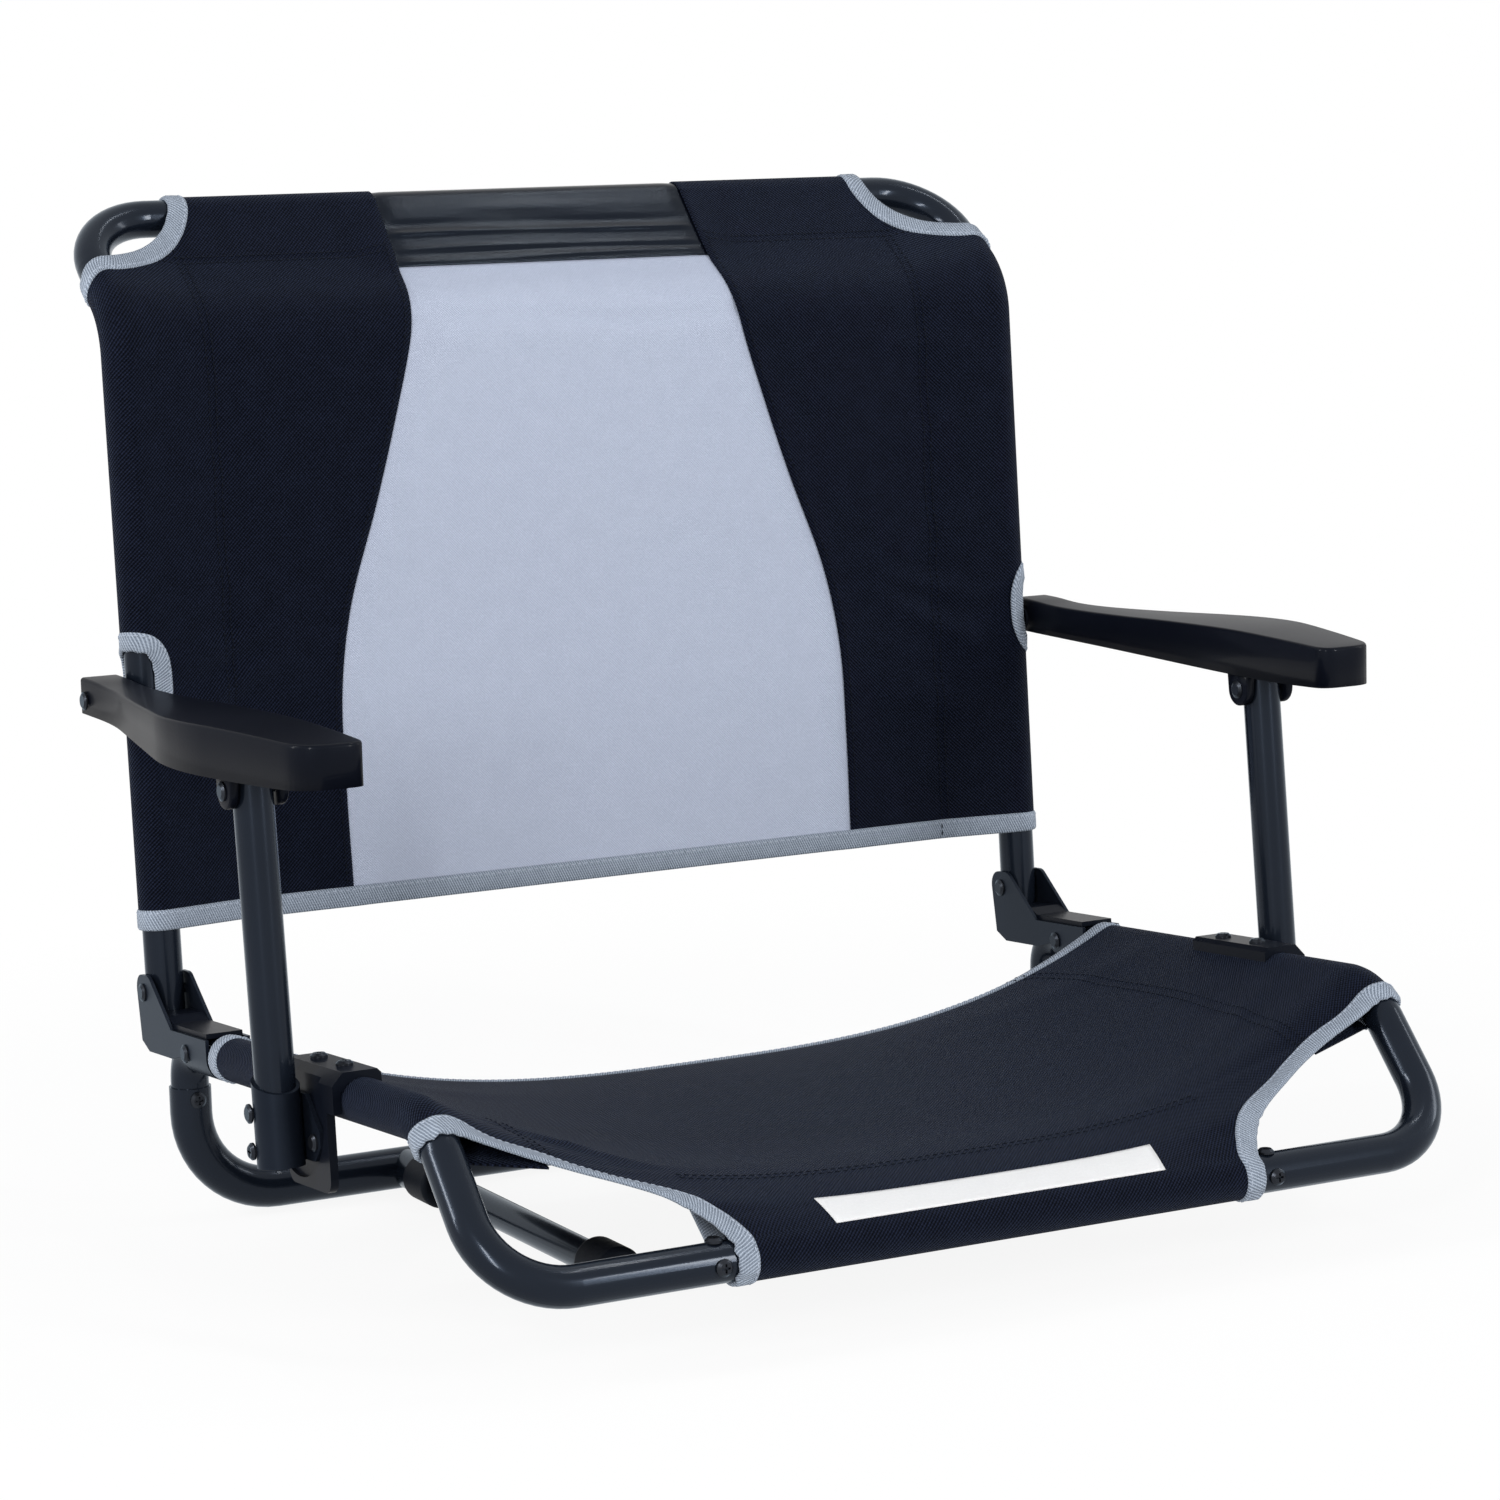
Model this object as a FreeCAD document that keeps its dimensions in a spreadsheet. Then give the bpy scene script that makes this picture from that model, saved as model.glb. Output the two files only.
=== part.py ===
import FreeCAD, Part
import math
import os

import Sketcher
from FreeCAD import Placement, Rotation, Vector

# Folding stadium chair that hooks onto a bench. Millimetres, +Z up, the chair faces -Y and +X is to the
# right as seen from the front. The origin is on the floor, midway between the front bar and the top bar.
# Every piece is drawn for the +X side and mirrored to the -X side.

SIZES = {
    # frame tube
    "tube_od": 19.05,
    "tube_wall": 1.2,
    "bend_r": 38.0,
    "side_x": 253.0,
    "recline": 3.5,
    # seat frame: front bar, legs, rails
    "seat_depth": 361.0,
    "front_bar_z": 42.5,
    "leg_run": 62.0,
    "drop_bend_r": 19.0,
    # back frame, measured from the hinge
    "hinge_z": 113.0,
    "hinge_setback": 29.4,
    "hinge_rise": 24.8,
    "back_lean": 82.6,
    "back_rise": 385.0,
    "curl_len": 337.0,
    "tail_len": 21.5,
    "plug_len": 14.0,
    "plug_lip": 1.5,
    # rear hook
    "hook_wall": 0.95,
    "hook_bend_r": 44.0,
    "bar_lift": 0.975,
    "hook_top_z": 69.0,
    "hook_overlap": 11.0,
    "joint_screw_drop": 5.5,
    "arm_x": 138.0,
    "arm_od": 15.5,
    "arm_wall": 1.2,
    "arm_reach": 249.0,
    "stub_wall": 2.2,
    "stub_reach": 23.0,
    "ferrule_len": 26.0,
    "foot_wall": 4.2,
    "foot_flat": 0.5,
    "foot_round": 2.6,
    "cap_len": 27.0,
    "cap_wall": 4.0,
    # hinge brackets
    "plate": 1.8,
    "side_gap": 0.4,
    "ear_r": 9.0,
    "bracket_len": 84.0,
    "channel_rear": 50.0,
    "ear_root": 36.0,
    "channel_lip": 0.075,
    "bracket_rivet_u": 55.6,
    "insert_front": 80.0,
    "insert_step": 34.0,
    "insert_h": 2.675,
    "stop_h": 5.975,
    # arm linkage, measured square to the rail
    "arm_pivot_len": 149.3,
    "link_run": 207.55,
    "link_fall": 31.73,
    "post_lean": 1.93,
    "post_foot": 25.2,
    "post_head": 6.0,
    "post_plug_dome": 3.0,
    # post socket and its tab
    "socket_wall": 1.6,
    "socket_len": 43.0,
    "socket_slope": 9.0,
    "tab_thick": 2.3,
    "tab_back": 2.1,
    "tab_reach": 22.0,
    "tab_drop": 23.3,
    "tab_rivet_out": 15.5,
    "tab_rivet_drop": 14.3,
    "low_screw_drop": 17.5,
    # arm clamps
    "clamp_front": 45.0,
    "clamp_rear": 20.0,
    "clamp_roof": 3.075,
    "clamp_half": 9.5,
    "clamp_skirt": 5.0,
    "clamp_plate": 4.0,
    "clamp_plate_top": 8.0,
    "clamp_plate_front": 36.5,
    "clamp_plate_rear": 14.0,
    "clamp_plate_drop": 36.0,
    "clamp_recess_r": 32.4,
    "clamp_recess": 2.1,
    "clamp_screw_rear": 5.9,
    "clamp_screw_front": 24.8,
    # armrests, measured from the rear pivot
    "arm_rear_w": 20.4,
    "arm_front_w": 43.3,
    "arm_nose_w": 24.0,
    "arm_nose_in": 6.3,
    "arm_tail": 8.0,
    "arm_neck": 35.0,
    "arm_slant": 70.0,
    "arm_shoulder": 166.0,
    "arm_hip": 198.0,
    "arm_nose": 295.0,
    "arm_bow": 120.0,
    "arm_top": 11.5,
    "arm_waist": 9.2,
    "arm_crest": 12.6,
    "arm_under": 10.6,
    "arm_loin": 8.4,
    "arm_heel": 6.5,
    "arm_toe": 9.4,
    "arm_tip": 10.6,
    "arm_skin": 2.5,
    "arm_boss": 14.0,
    "lug_r": 8.5,
    "lug_w": 4.3,
    "lug_gap": 0.675,
    # fasteners
    "pin_r": 2.5,
    "pin_play": 0.05,
    "rivet_head_r": 4.6,
    "rivet_head_h": 1.8,
    "screw_r": 1.9,
    "screw_head_r": 4.1,
    "screw_head_h": 2.2,
    "recess_w": 1.0,
    "recess_reach": 2.1,
    "recess_depth": 1.2,
    "front_screw_out": 9.0,
    "washer_r": 7.0,
    "washer": 1.375,
    # fabric
    "cloth": 1.2,
    "cloth_gap": 0.1,
    "soft_gap": 0.3,
    "sling": 2.4,
    "sling_rear": 95.0,
    "sling_sag": 41.0,
    "sling_front_sag": 0.6,
    "front_open": 115.0,
    "binding_w": 10.0,
    "binding": 3.2,
    "panel": 2.0,
    "seam_x": 100.0,
    "hem_rise": 42.0,
    "cutout_low": 13.0,
    "cutout_high": 21.0,
    "cutout_r": 17.0,
    "corner_drop": 22.0,
    "corner_open": 63.0,
}

# Sizes that follow from the fits between pieces
FITS = {
    "tube_r": "tube_od / 2",
    "hook_od": "tube_od + 2 * (hook_wall + pin_play)",
    "foot_bore": "arm_od / 2 + pin_play",
    "foot_r": "max(foot_bore + foot_wall; hook_od / 2 + bar_lift + foot_flat)",
    "hook_axis_z": "foot_r - foot_flat",
    "stub_od": "arm_od + 2 * (stub_wall + pin_play)",
    "channel_in": "tube_r + side_gap",
    "channel_out": "channel_in + plate",
    "channel_top": "tube_r + channel_lip",
    "insert_floor": "tube_r + pin_play",
    "insert_top": "tube_r + insert_h",
    "stop_top": "tube_r + stop_h",
    "sleeve_in": "tube_r + cloth_gap",
    "sleeve_out": "sleeve_in + cloth",
    "saddle_bore": "sleeve_out + cloth_gap",
    "plate_in": "saddle_bore + cloth_gap",
    "plate_out": "plate_in + clamp_plate",
    "clamp_top": "saddle_bore + clamp_roof",
    "pivot_w": "hinge_rise - link_fall",
    "socket_in": "tube_r + pin_play",
    "socket_out": "socket_in + socket_wall",
    "plug_r": "tube_r - tube_wall - pin_play",
    "post_x": "side_x + plate_out - clamp_recess + soft_gap + tab_back + socket_out",
    "post_tail": "arm_pivot_len + post_foot",
    "arm_inner": "tube_r + cloth_gap + washer + soft_gap",
    "arm_rear": "arm_inner + arm_rear_w",
    "arm_front": "arm_inner + arm_front_w",
    "nose_inner": "arm_inner - arm_nose_in",
    "nose_outer": "arm_inner + arm_nose_w",
    "lug_in": "tube_r + lug_gap",
    "soft_edge": "side_x - sleeve_out - soft_gap",
    "sling_front_half": "side_x - front_open",
    "front_screw_x": "sling_front_half + front_screw_out",
    "top_sleeve_half": "side_x - corner_open",
}

doc = FreeCAD.newDocument("stadium_chair")
sheet = doc.addObject("Spreadsheet::Sheet", "sizes")
cells = {alias: str(number) for alias, number in SIZES.items()}
cells.update({alias: "=" + formula for alias, formula in FITS.items()})
for row, (alias, content) in enumerate(cells.items(), start=1):
    sheet.set(f"A{row}", alias)
    sheet.set(f"B{row}", content)
    sheet.setAlias(f"B{row}", alias)
    doc.recompute()

SUBPARTS = []


def size(alias):
    return float(sheet.get(alias))


def bound(text):
    """Turn 'tube_od / 2' into an expression on the sheet's cells."""
    words = text.replace("(", " ( ").replace(")", " ) ").split()
    return " ".join(f"sizes.{word}" if word in cells else word for word in words)


def value(text):
    result = sheet.evalExpression(bound(text))
    return float(getattr(result, "Value", result))


def keep(label, thing):
    thing.Label = label
    SUBPARTS.append(thing)
    return thing


def mirrored(thing):
    twin = doc.addObject("Part::Mirroring", thing.Name + "_twin")
    twin.Source = thing
    twin.Normal = Vector(1, 0, 0)
    return twin


def keep_pair(name, thing):
    keep("right_" + name, thing)
    keep("left_" + name, mirrored(thing))


def keep_group(label, things):
    group = doc.addObject("Part::Compound", label)
    group.Links = list(things) + [mirrored(thing) for thing in things]
    keep(label, group)


# Sketch and feature helpers


def new_body(name, spot=(0, 0, 0), turn=None):
    body = doc.addObject("PartDesign::Body", name)
    body.Placement = Placement(Vector(*spot), turn or Rotation())
    return body


def new_sketch(body, plane, offset="0"):
    sketch = body.newObject("Sketcher::SketchObject", body.Name + "_sketch")
    base = next(item for item in body.Origin.OriginFeatures if item.Role == plane)
    sketch.AttachmentSupport = [(base, "")]
    sketch.MapMode = "FlatFace"
    sketch.AttachmentOffset.Base = Vector(0, 0, value(offset))
    sketch.setExpression("AttachmentOffset.Base.z", bound(offset))
    return sketch


def tie(sketch, kind, item, point, text):
    index = sketch.addConstraint(Sketcher.Constraint(kind, -1, 1, item, point, value(text)))
    sketch.setExpression(f"Constraints[{index}]", bound(text))


def outline(sketch, corners):
    """A closed run of lines whose corners are pairs of expressions."""
    first = sketch.GeometryCount
    count = len(corners)
    spots = [Vector(value(across), value(up), 0) for across, up in corners]
    for index in range(count):
        sketch.addGeometry(Part.LineSegment(spots[index], spots[(index + 1) % count]))
    for index in range(count):
        following = first + (index + 1) % count
        sketch.addConstraint(Sketcher.Constraint("Coincident", first + index, 2, following, 1))
    for index, (across, up) in enumerate(corners):
        tie(sketch, "DistanceX", first + index, 1, across)
        tie(sketch, "DistanceY", first + index, 1, up)


def ring(sketch, radius, across="0", up="0"):
    centre = Vector(value(across), value(up), 0)
    item = sketch.addGeometry(Part.Circle(centre, Vector(0, 0, 1), value(radius)))
    index = sketch.addConstraint(Sketcher.Constraint("Radius", item, value(radius)))
    sketch.setExpression(f"Constraints[{index}]", bound(radius))
    tie(sketch, "DistanceX", item, 3, across)
    tie(sketch, "DistanceY", item, 3, up)


def pad(body, sketch, length, both=False):
    feature = body.newObject("PartDesign::Pad", body.Name + "_pad")
    feature.Profile = sketch
    feature.setExpression("Length", bound(length))
    feature.Midplane = both
    doc.recompute()
    return feature


def pocket(body, sketch, depth=None, both=False):
    """Cut to a depth behind the sketch, or right through; the volume has to fall."""
    before = body.Shape.Volume
    feature = body.newObject("PartDesign::Pocket", body.Name + "_pocket")
    feature.Profile = sketch
    feature.Midplane = both
    if depth is None:
        feature.Type = 1
    else:
        feature.setExpression("Length", bound(depth))
    doc.recompute()
    if body.Shape.Volume >= before:
        raise RuntimeError(f"{body.Name}: a pocket cut nothing")


def fillet(body, radius, chosen):
    """Round the edges that a test on an edge picks out."""
    base = body.Tip
    names = [f"Edge{number}" for number, edge in enumerate(base.Shape.Edges, start=1) if chosen(edge)]
    feature = body.newObject("PartDesign::Fillet", body.Name + "_fillet")
    feature.Base = (base, names)
    feature.setExpression("Radius", bound(radius))
    doc.recompute()


def turned(name, corners, spot, turn=None):
    """A body turned about its own Z from corners given as radius and height."""
    body = new_body(name, spot, turn)
    sketch = new_sketch(body, "XZ_Plane")
    outline(sketch, corners)
    feature = body.newObject("PartDesign::Revolution", name + "_turn")
    feature.Profile = sketch
    feature.ReferenceAxis = (sketch, ["V_Axis"])
    feature.Angle = 360
    doc.recompute()
    return body


def pipe(name, outer, inner, length, spot, turn=None):
    """A straight tube along its own Z."""
    body = new_body(name, spot, turn)
    sketch = new_sketch(body, "XY_Plane")
    ring(sketch, outer)
    ring(sketch, inner)
    pad(body, sketch, length)
    return body


def pan_screw(name, length, spot, turn, crossed=True):
    """Head above Z = 0, shank below, and a cross recess in the head."""
    screw = turned(name, [
        ("0", f"0 - {length}"), ("screw_r", f"0 - {length}"), ("screw_r", "0"), ("screw_head_r", "0"),
        ("screw_head_r", "screw_head_h * 0.45"), ("screw_head_r * 0.7", "screw_head_h"),
        ("0", "screw_head_h"),
    ], spot, turn)
    if crossed:
        cross = new_sketch(screw, "XY_Plane", "screw_head_h")
        slim, reach = "recess_w / 2", "recess_reach"
        outline(cross, [
            (slim, reach), (f"0 - {slim}", reach), (f"0 - {slim}", slim), (f"0 - {reach}", slim),
            (f"0 - {reach}", f"0 - {slim}"), (f"0 - {slim}", f"0 - {slim}"),
            (f"0 - {slim}", f"0 - {reach}"), (slim, f"0 - {reach}"),
            (slim, f"0 - {slim}"), (reach, f"0 - {slim}"), (reach, slim), (slim, slim),
        ])
        pocket(screw, cross, "recess_depth")
    return screw


def rivet(name, radius, half_grip, spot):
    """A pin along X with a domed head at each end, centred on its spot."""
    tip = f"{half_grip} + rivet_head_h"
    rim = f"{half_grip} + rivet_head_h * 0.45"
    crown = "rivet_head_r * 0.65"
    return turned(name, [
        ("0", f"0 - ({tip})"), (crown, f"0 - ({tip})"), ("rivet_head_r", f"0 - ({rim})"),
        ("rivet_head_r", f"0 - ({half_grip})"), (radius, f"0 - ({half_grip})"), (radius, half_grip),
        ("rivet_head_r", half_grip), ("rivet_head_r", rim), (crown, tip), ("0", tip),
    ], spot, ALONG_X)


# Places, worked out from the sizes

ALONG_X = Rotation(Vector(0, 0, 1), Vector(1, 0, 0))
ALONG_Y = Rotation(Vector(0, 0, 1), Vector(0, 1, 0))
FACING_FRONT = Rotation(Vector(0, 0, 1), Vector(0, -1, 0))
RAIL_TURN = Rotation(Vector(-1, 0, 0), size("recline"))
RAIL_BACK = RAIL_TURN.multVec(Vector(0, 1, 0))
RAIL_UP = RAIL_TURN.multVec(Vector(0, 0, 1))

tube_r = size("tube_r")
side_x = size("side_x")
front_y = -(size("seat_depth") + size("hinge_setback") + size("back_lean")) / 2
hook_y = front_y + size("seat_depth")
hinge_y = hook_y + size("hinge_setback")
hinge = Vector(side_x, hinge_y, size("hinge_z"))
hinge_foot = hinge - RAIL_UP * size("hinge_rise")
top_bar_y = hinge_y + size("back_lean")
top_bar_z = size("hinge_z") + size("back_rise")


def on_rail(back, up, across=side_x):
    """A point from the hinge's foot on the rail: how far back along it, and how far square above it."""
    spot = hinge_foot + RAIL_BACK * back + RAIL_UP * up
    return Vector(across, spot.y, spot.z)


def rail_z(y):
    return hinge_foot.z - (y - hinge_foot.y) * math.tan(math.radians(size("recline")))


arm_pivot_up = size("hinge_rise") + size("arm_pivot_len")
arm_pivot = on_rail(0, arm_pivot_up)
lug_pivot = on_rail(-size("link_run"), arm_pivot_up - size("link_fall"), size("post_x"))
post_pivot = on_rail(-size("link_run"), size("hinge_rise") - size("link_fall"), size("post_x"))
clamp_foot = on_rail(-size("link_run"), 0)
POST_TURN = Rotation(Vector(-1, 0, 0), size("recline") + size("post_lean"))
POST_UP = POST_TURN.multVec(Vector(0, 0, 1))

# Bent tubes: straight runs joined by tangent arcs


def bent_path(points, radii):
    """A wire through the points; each inner corner is an arc of its own radius."""
    edges = []
    start = points[0]
    for before, corner, after, radius in zip(points, points[1:], points[2:], radii):
        coming = (corner - before).normalize()
        going = (after - corner).normalize()
        half_turn = coming.getAngle(going) / 2
        setback = radius * math.tan(half_turn)
        bulge = radius / math.cos(half_turn) - radius
        enter = corner - coming * setback
        leave = corner + going * setback
        middle = corner + (going - coming).normalize() * bulge
        edges.append(Part.LineSegment(start, enter).toShape())
        edges.append(Part.Arc(enter, middle, leave).toShape())
        start = leave
    edges.append(Part.LineSegment(start, points[-1]).toShape())
    return Part.Wire(edges)


def swept(path, radius):
    start = path.Edges[0].valueAt(path.Edges[0].FirstParameter)
    heading = path.Edges[0].tangentAt(path.Edges[0].FirstParameter)
    profile = Part.Wire(Part.Circle(start, heading, radius).toShape())
    return path.makePipeShell([profile], True, False)


def both_sides(half):
    """Continue a path drawn on the +X side onto the -X side."""
    return half + [Vector(-point.x, point.y, point.z) for point in reversed(half)]


def bent_tube(label, half, radii, outer, wall, drilled):
    path = bent_path(both_sides(half), list(radii) + list(reversed(radii)))
    shape = swept(path, outer / 2).cut(swept(path, outer / 2 - wall))
    expected = math.pi * (outer - wall) * wall * path.Length
    if abs(shape.Volume - expected) > 0.01 * expected:
        raise RuntimeError(f"{label}: volume {shape.Volume:.0f}, expected {expected:.0f}")
    holes = []
    for spot, heading, radius, reach in drilled:
        holes.append(Part.makeCylinder(radius, reach, spot, heading))
        opposite = Vector(-spot.x, spot.y, spot.z)
        holes.append(Part.makeCylinder(radius, reach, opposite, Vector(-heading.x, heading.y, heading.z)))
    tube = doc.addObject("Part::Feature", label)
    tube.Shape = shape.cut(holes) if holes else shape
    tube.Placement = Placement()
    return keep(label, tube)


cross = Vector(1, 0, 0)
hole_reach = size("tube_od") + 4
pin_hole = size("pin_r") + size("pin_play")
screw_hole = size("screw_r") + size("pin_play")
shell_reach = tube_r + 2


def through(spot, radius=pin_hole):
    """A hole right across a side tube at a spot on its axis."""
    return (Vector(side_x - hole_reach / 2, spot.y, spot.z), cross, radius, hole_reach)


# Seat frame: rails, legs and front bar in one length, with its rear ends turned down into the hook tube

leg_top = Vector(side_x, front_y + size("leg_run"), rail_z(front_y + size("leg_run")))
rail_rear = Vector(side_x, hook_y, rail_z(hook_y))
stub_foot = Vector(side_x, hook_y, size("hook_top_z") - size("hook_overlap"))
joint_screw = Vector(side_x, hook_y - size("hook_od") / 2, size("hook_top_z") - size("joint_screw_drop"))
front_axis = Vector(size("front_screw_x"), front_y, size("front_bar_z"))
forward = Vector(0, -1, 0)
upward = Vector(0, 0, 1)
clamp_screw_spots = [
    on_rail(-size("link_run") + size("clamp_screw_rear"), size("clamp_top")),
    on_rail(-size("link_run") - size("clamp_screw_front"), size("clamp_top")),
]
seat_holes = [
    through(on_rail(-size("bracket_rivet_u"), 0)),
    (Vector(side_x, hook_y, joint_screw.z), forward, screw_hole, shell_reach),
    (front_axis, forward, screw_hole, shell_reach),
    (front_axis, upward, screw_hole, shell_reach),
]
for spot in clamp_screw_spots:
    seat_holes.append((spot - RAIL_UP * size("clamp_top"), RAIL_UP, screw_hole, shell_reach))
bent_tube(
    "seat_frame_tube",
    [stub_foot, rail_rear, leg_top, Vector(side_x, front_y, size("front_bar_z"))],
    [size("drop_bend_r"), size("bend_r"), size("bend_r")],
    size("tube_od"), size("tube_wall"), seat_holes,
)

# Rear hook: a U tube whose legs sleeve over the seat frame's ends

bent_tube(
    "rear_hook_tube",
    [Vector(side_x, hook_y, size("hook_top_z")), Vector(side_x, hook_y, size("hook_axis_z"))],
    [size("hook_bend_r")],
    size("hook_od"), size("hook_wall"),
    [(Vector(side_x, hook_y, joint_screw.z), forward, screw_hole, shell_reach)],
)
keep_group("leg_joint_screws", [pan_screw("leg_joint_screw", "8", joint_screw, FACING_FRONT)])

# Hook arms: a coped stub on the hook's cross bar, a tube in it, a ferrule at the joint and a cap at the tip

arm_axis = (size("arm_x"), hook_y, size("hook_axis_z"))
stub = pipe("arm_stub", "stub_od / 2", "arm_od / 2 + pin_play", "stub_reach", arm_axis, FACING_FRONT)
bar_relief = doc.addObject("Part::Cylinder", "bar_relief")
bar_relief.setExpression("Radius", bound("hook_od / 2 + 0.02"))
bar_relief.setExpression("Height", bound("stub_od * 2"))
bar_relief.Placement = Placement(Vector(arm_axis[0] - size("stub_od"), hook_y, arm_axis[2]), ALONG_X)
coped = doc.addObject("Part::Cut", "coped_stub")
coped.Base = stub
coped.Tool = bar_relief
keep_pair("arm_stub", coped)

ARM_START = "hook_od / 2 + 1.5"
arm_tip = "arm_reach - cap_wall - pin_play"
arm_start_y = hook_y - value(ARM_START)
keep_pair("hook_arm", pipe(
    "hook_arm", "arm_od / 2", "arm_od / 2 - arm_wall", f"{arm_tip} - ( {ARM_START} )",
    (arm_axis[0], arm_start_y, arm_axis[2]), FACING_FRONT,
))


def floor_flat(body):
    """Cut the underside level with the floor, which is the flat that the chair stands on."""
    below = doc.addObject("Part::Box", body.Name + "_below")
    below.setExpression("Length", bound("foot_r * 4"))
    below.setExpression("Width", bound("foot_r * 8"))
    below.setExpression("Height", bound("foot_r"))
    corner = body.Placement.Base - Vector(size("foot_r") * 2, size("foot_r") * 4, 0)
    below.Placement = Placement(Vector(corner.x, corner.y, -size("foot_r")), Rotation())
    flat = doc.addObject("Part::Cut", body.Name + "_flat")
    flat.Base = body
    flat.Tool = below
    return flat


def round_rims(body, radius):
    """Round the outer rims of a turned foot."""
    rim_r = size("foot_r")
    fillet(body, radius, lambda edge: abs(getattr(edge.Curve, "Radius", 0) - rim_r) < 0.01)


ferrule = turned("ferrule", [
    ("foot_bore", "0"), ("foot_r", "0"), ("foot_r", "ferrule_len"), ("foot_bore", "ferrule_len"),
], (arm_axis[0], hook_y - size("stub_reach"), arm_axis[2]), FACING_FRONT)
round_rims(ferrule, "foot_round")
keep_pair("hook_ferrule", floor_flat(ferrule))
cap = turned("end_cap", [
    ("foot_bore", "0"), ("foot_r", "0"), ("foot_r", "cap_len"), ("0", "cap_len"),
    ("0", "cap_len - cap_wall"), ("foot_bore", "cap_len - cap_wall"),
], (arm_axis[0], hook_y - size("arm_reach") + size("cap_len"), arm_axis[2]), FACING_FRONT)
round_rims(cap, "foot_round")
keep_pair("hook_end_cap", floor_flat(cap))

# Hinge brackets: a stamped channel under the rail's rear end, whose sides rise into two ears


def channel(body):
    sketch = new_sketch(body, "XZ_Plane", "channel_rear")
    ring(sketch, "channel_out")
    pad(body, sketch, "bracket_len - channel_rear")
    sketch = new_sketch(body, "XZ_Plane", "channel_rear")
    outline(sketch, [
        ("0 - channel_out", "0"), ("channel_out", "0"),
        ("channel_out", "channel_top"), ("0 - channel_out", "channel_top"),
    ])
    pad(body, sketch, "bracket_len - channel_rear")
    sketch = new_sketch(body, "XZ_Plane", "channel_rear")
    ring(sketch, "channel_in")
    pocket(body, sketch, "bracket_len", both=True)
    sketch = new_sketch(body, "XZ_Plane", "channel_rear")
    outline(sketch, [
        ("0 - channel_in", "0"), ("channel_in", "0"),
        ("channel_in", "bracket_len"), ("0 - channel_in", "bracket_len"),
    ])
    pocket(body, sketch, "bracket_len * 2", both=True)


def ear_plate(body, offset):
    sketch = new_sketch(body, "YZ_Plane", offset)
    outline(sketch, [
        ("0 - bracket_len * 0.72", "channel_top"), ("0 - ear_root", "channel_top"),
        ("0 - ear_r * 0.9", "hinge_rise + ear_r"), ("ear_r", "hinge_rise + ear_r"), ("ear_r", "hinge_rise"),
        ("ear_r * 0.67", "0"), ("0 - ear_r * 0.4", "0 - channel_top / 2"),
        ("0 - ear_root", "0 - channel_top / 2"), ("0 - bracket_len * 0.72", "0"),
    ])
    ring(sketch, "pin_r + pin_play", "0", "hinge_rise")
    pad(body, sketch, "plate")


bracket = new_body("hinge_bracket", hinge_foot, RAIL_TURN)
channel(bracket)
ear_plate(bracket, "channel_in")
ear_plate(bracket, "0 - channel_out")
rivet_holes = new_sketch(bracket, "YZ_Plane")
ring(rivet_holes, "pin_r + pin_play", "0 - bracket_rivet_u", "0")
pocket(bracket, rivet_holes, "tube_od * 2", both=True)


def across_edge(edge, back, up):
    """Whether an edge runs along X at a place in a body's own side view."""
    if len(edge.Vertexes) != 2:
        return False
    first, last = (vertex.Point for vertex in edge.Vertexes)
    along_x = abs(first.y - last.y) < 0.01 and abs(first.z - last.z) < 0.01
    return along_x and abs(first.y - back) < 0.5 and abs(first.z - up) < 0.5


ear_top = size("hinge_rise") + size("ear_r")
fillet(bracket, "ear_r * 0.85", lambda edge: across_edge(edge, size("ear_r"), ear_top)
       or across_edge(edge, -size("ear_r") * 0.9, ear_top))
keep_pair("hinge_bracket", bracket)

insert = new_body("hinge_insert", hinge_foot, RAIL_TURN)
insert_side = new_sketch(insert, "YZ_Plane")
STOP_FACE = "0 - tube_r - soft_gap"
outline(insert_side, [
    ("0 - insert_front", "insert_floor"), ("0 - insert_front", "insert_top"),
    ("0 - insert_step", "insert_top"),
    ("0 - insert_step + ( stop_top - insert_top ) * 2", "stop_top"), (STOP_FACE, "stop_top"),
    (STOP_FACE, "insert_floor"),
])
pad(insert, insert_side, "tube_od - pin_play * 2", both=True)
keep_pair("hinge_insert", insert)

keep_group("bracket_rivets", [
    rivet("bracket_rivet", "pin_r", "channel_out", on_rail(-size("bracket_rivet_u"), 0)),
])
keep_group("hinge_rivets", [rivet("hinge_rivet", "pin_r", "channel_out", hinge)])

# Arm clamps: a saddle screwed onto the rail over the fabric, with a recessed plate for the post's tab

clamp = new_body("arm_clamp", clamp_foot, RAIL_TURN)
saddle = new_sketch(clamp, "XZ_Plane", "0 - clamp_rear")
outline(saddle, [
    ("0 - clamp_half", "clamp_skirt"), ("0 - clamp_half", "clamp_top - 2"),
    ("0 - clamp_half + 2", "clamp_top"), ("clamp_half", "clamp_top"), ("plate_out", "clamp_plate_top"),
    ("plate_out", "0 - clamp_skirt"), ("plate_in", "0 - clamp_skirt"), ("plate_in", "clamp_skirt"),
])
pad(clamp, saddle, "clamp_rear + clamp_front")
plate = new_sketch(clamp, "YZ_Plane", "plate_in")
PLATE_FOOT = "pivot_w - clamp_plate_drop"
outline(plate, [
    ("clamp_plate_rear", "clamp_plate_top"), ("0 - clamp_plate_front", "clamp_plate_top"),
    ("0 - clamp_plate_front", PLATE_FOOT), ("clamp_plate_rear", PLATE_FOOT),
])
pad(clamp, plate, "clamp_plate")
rail_bore = new_sketch(clamp, "XZ_Plane")
ring(rail_bore, "saddle_bore")
pocket(clamp, rail_bore, "clamp_front * 4", both=True)
recess = new_sketch(clamp, "YZ_Plane", "plate_out")
ring(recess, "clamp_recess_r", "0", "pivot_w")
pocket(clamp, recess, "clamp_recess")
bolt_hole = new_sketch(clamp, "YZ_Plane", "plate_out")
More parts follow.
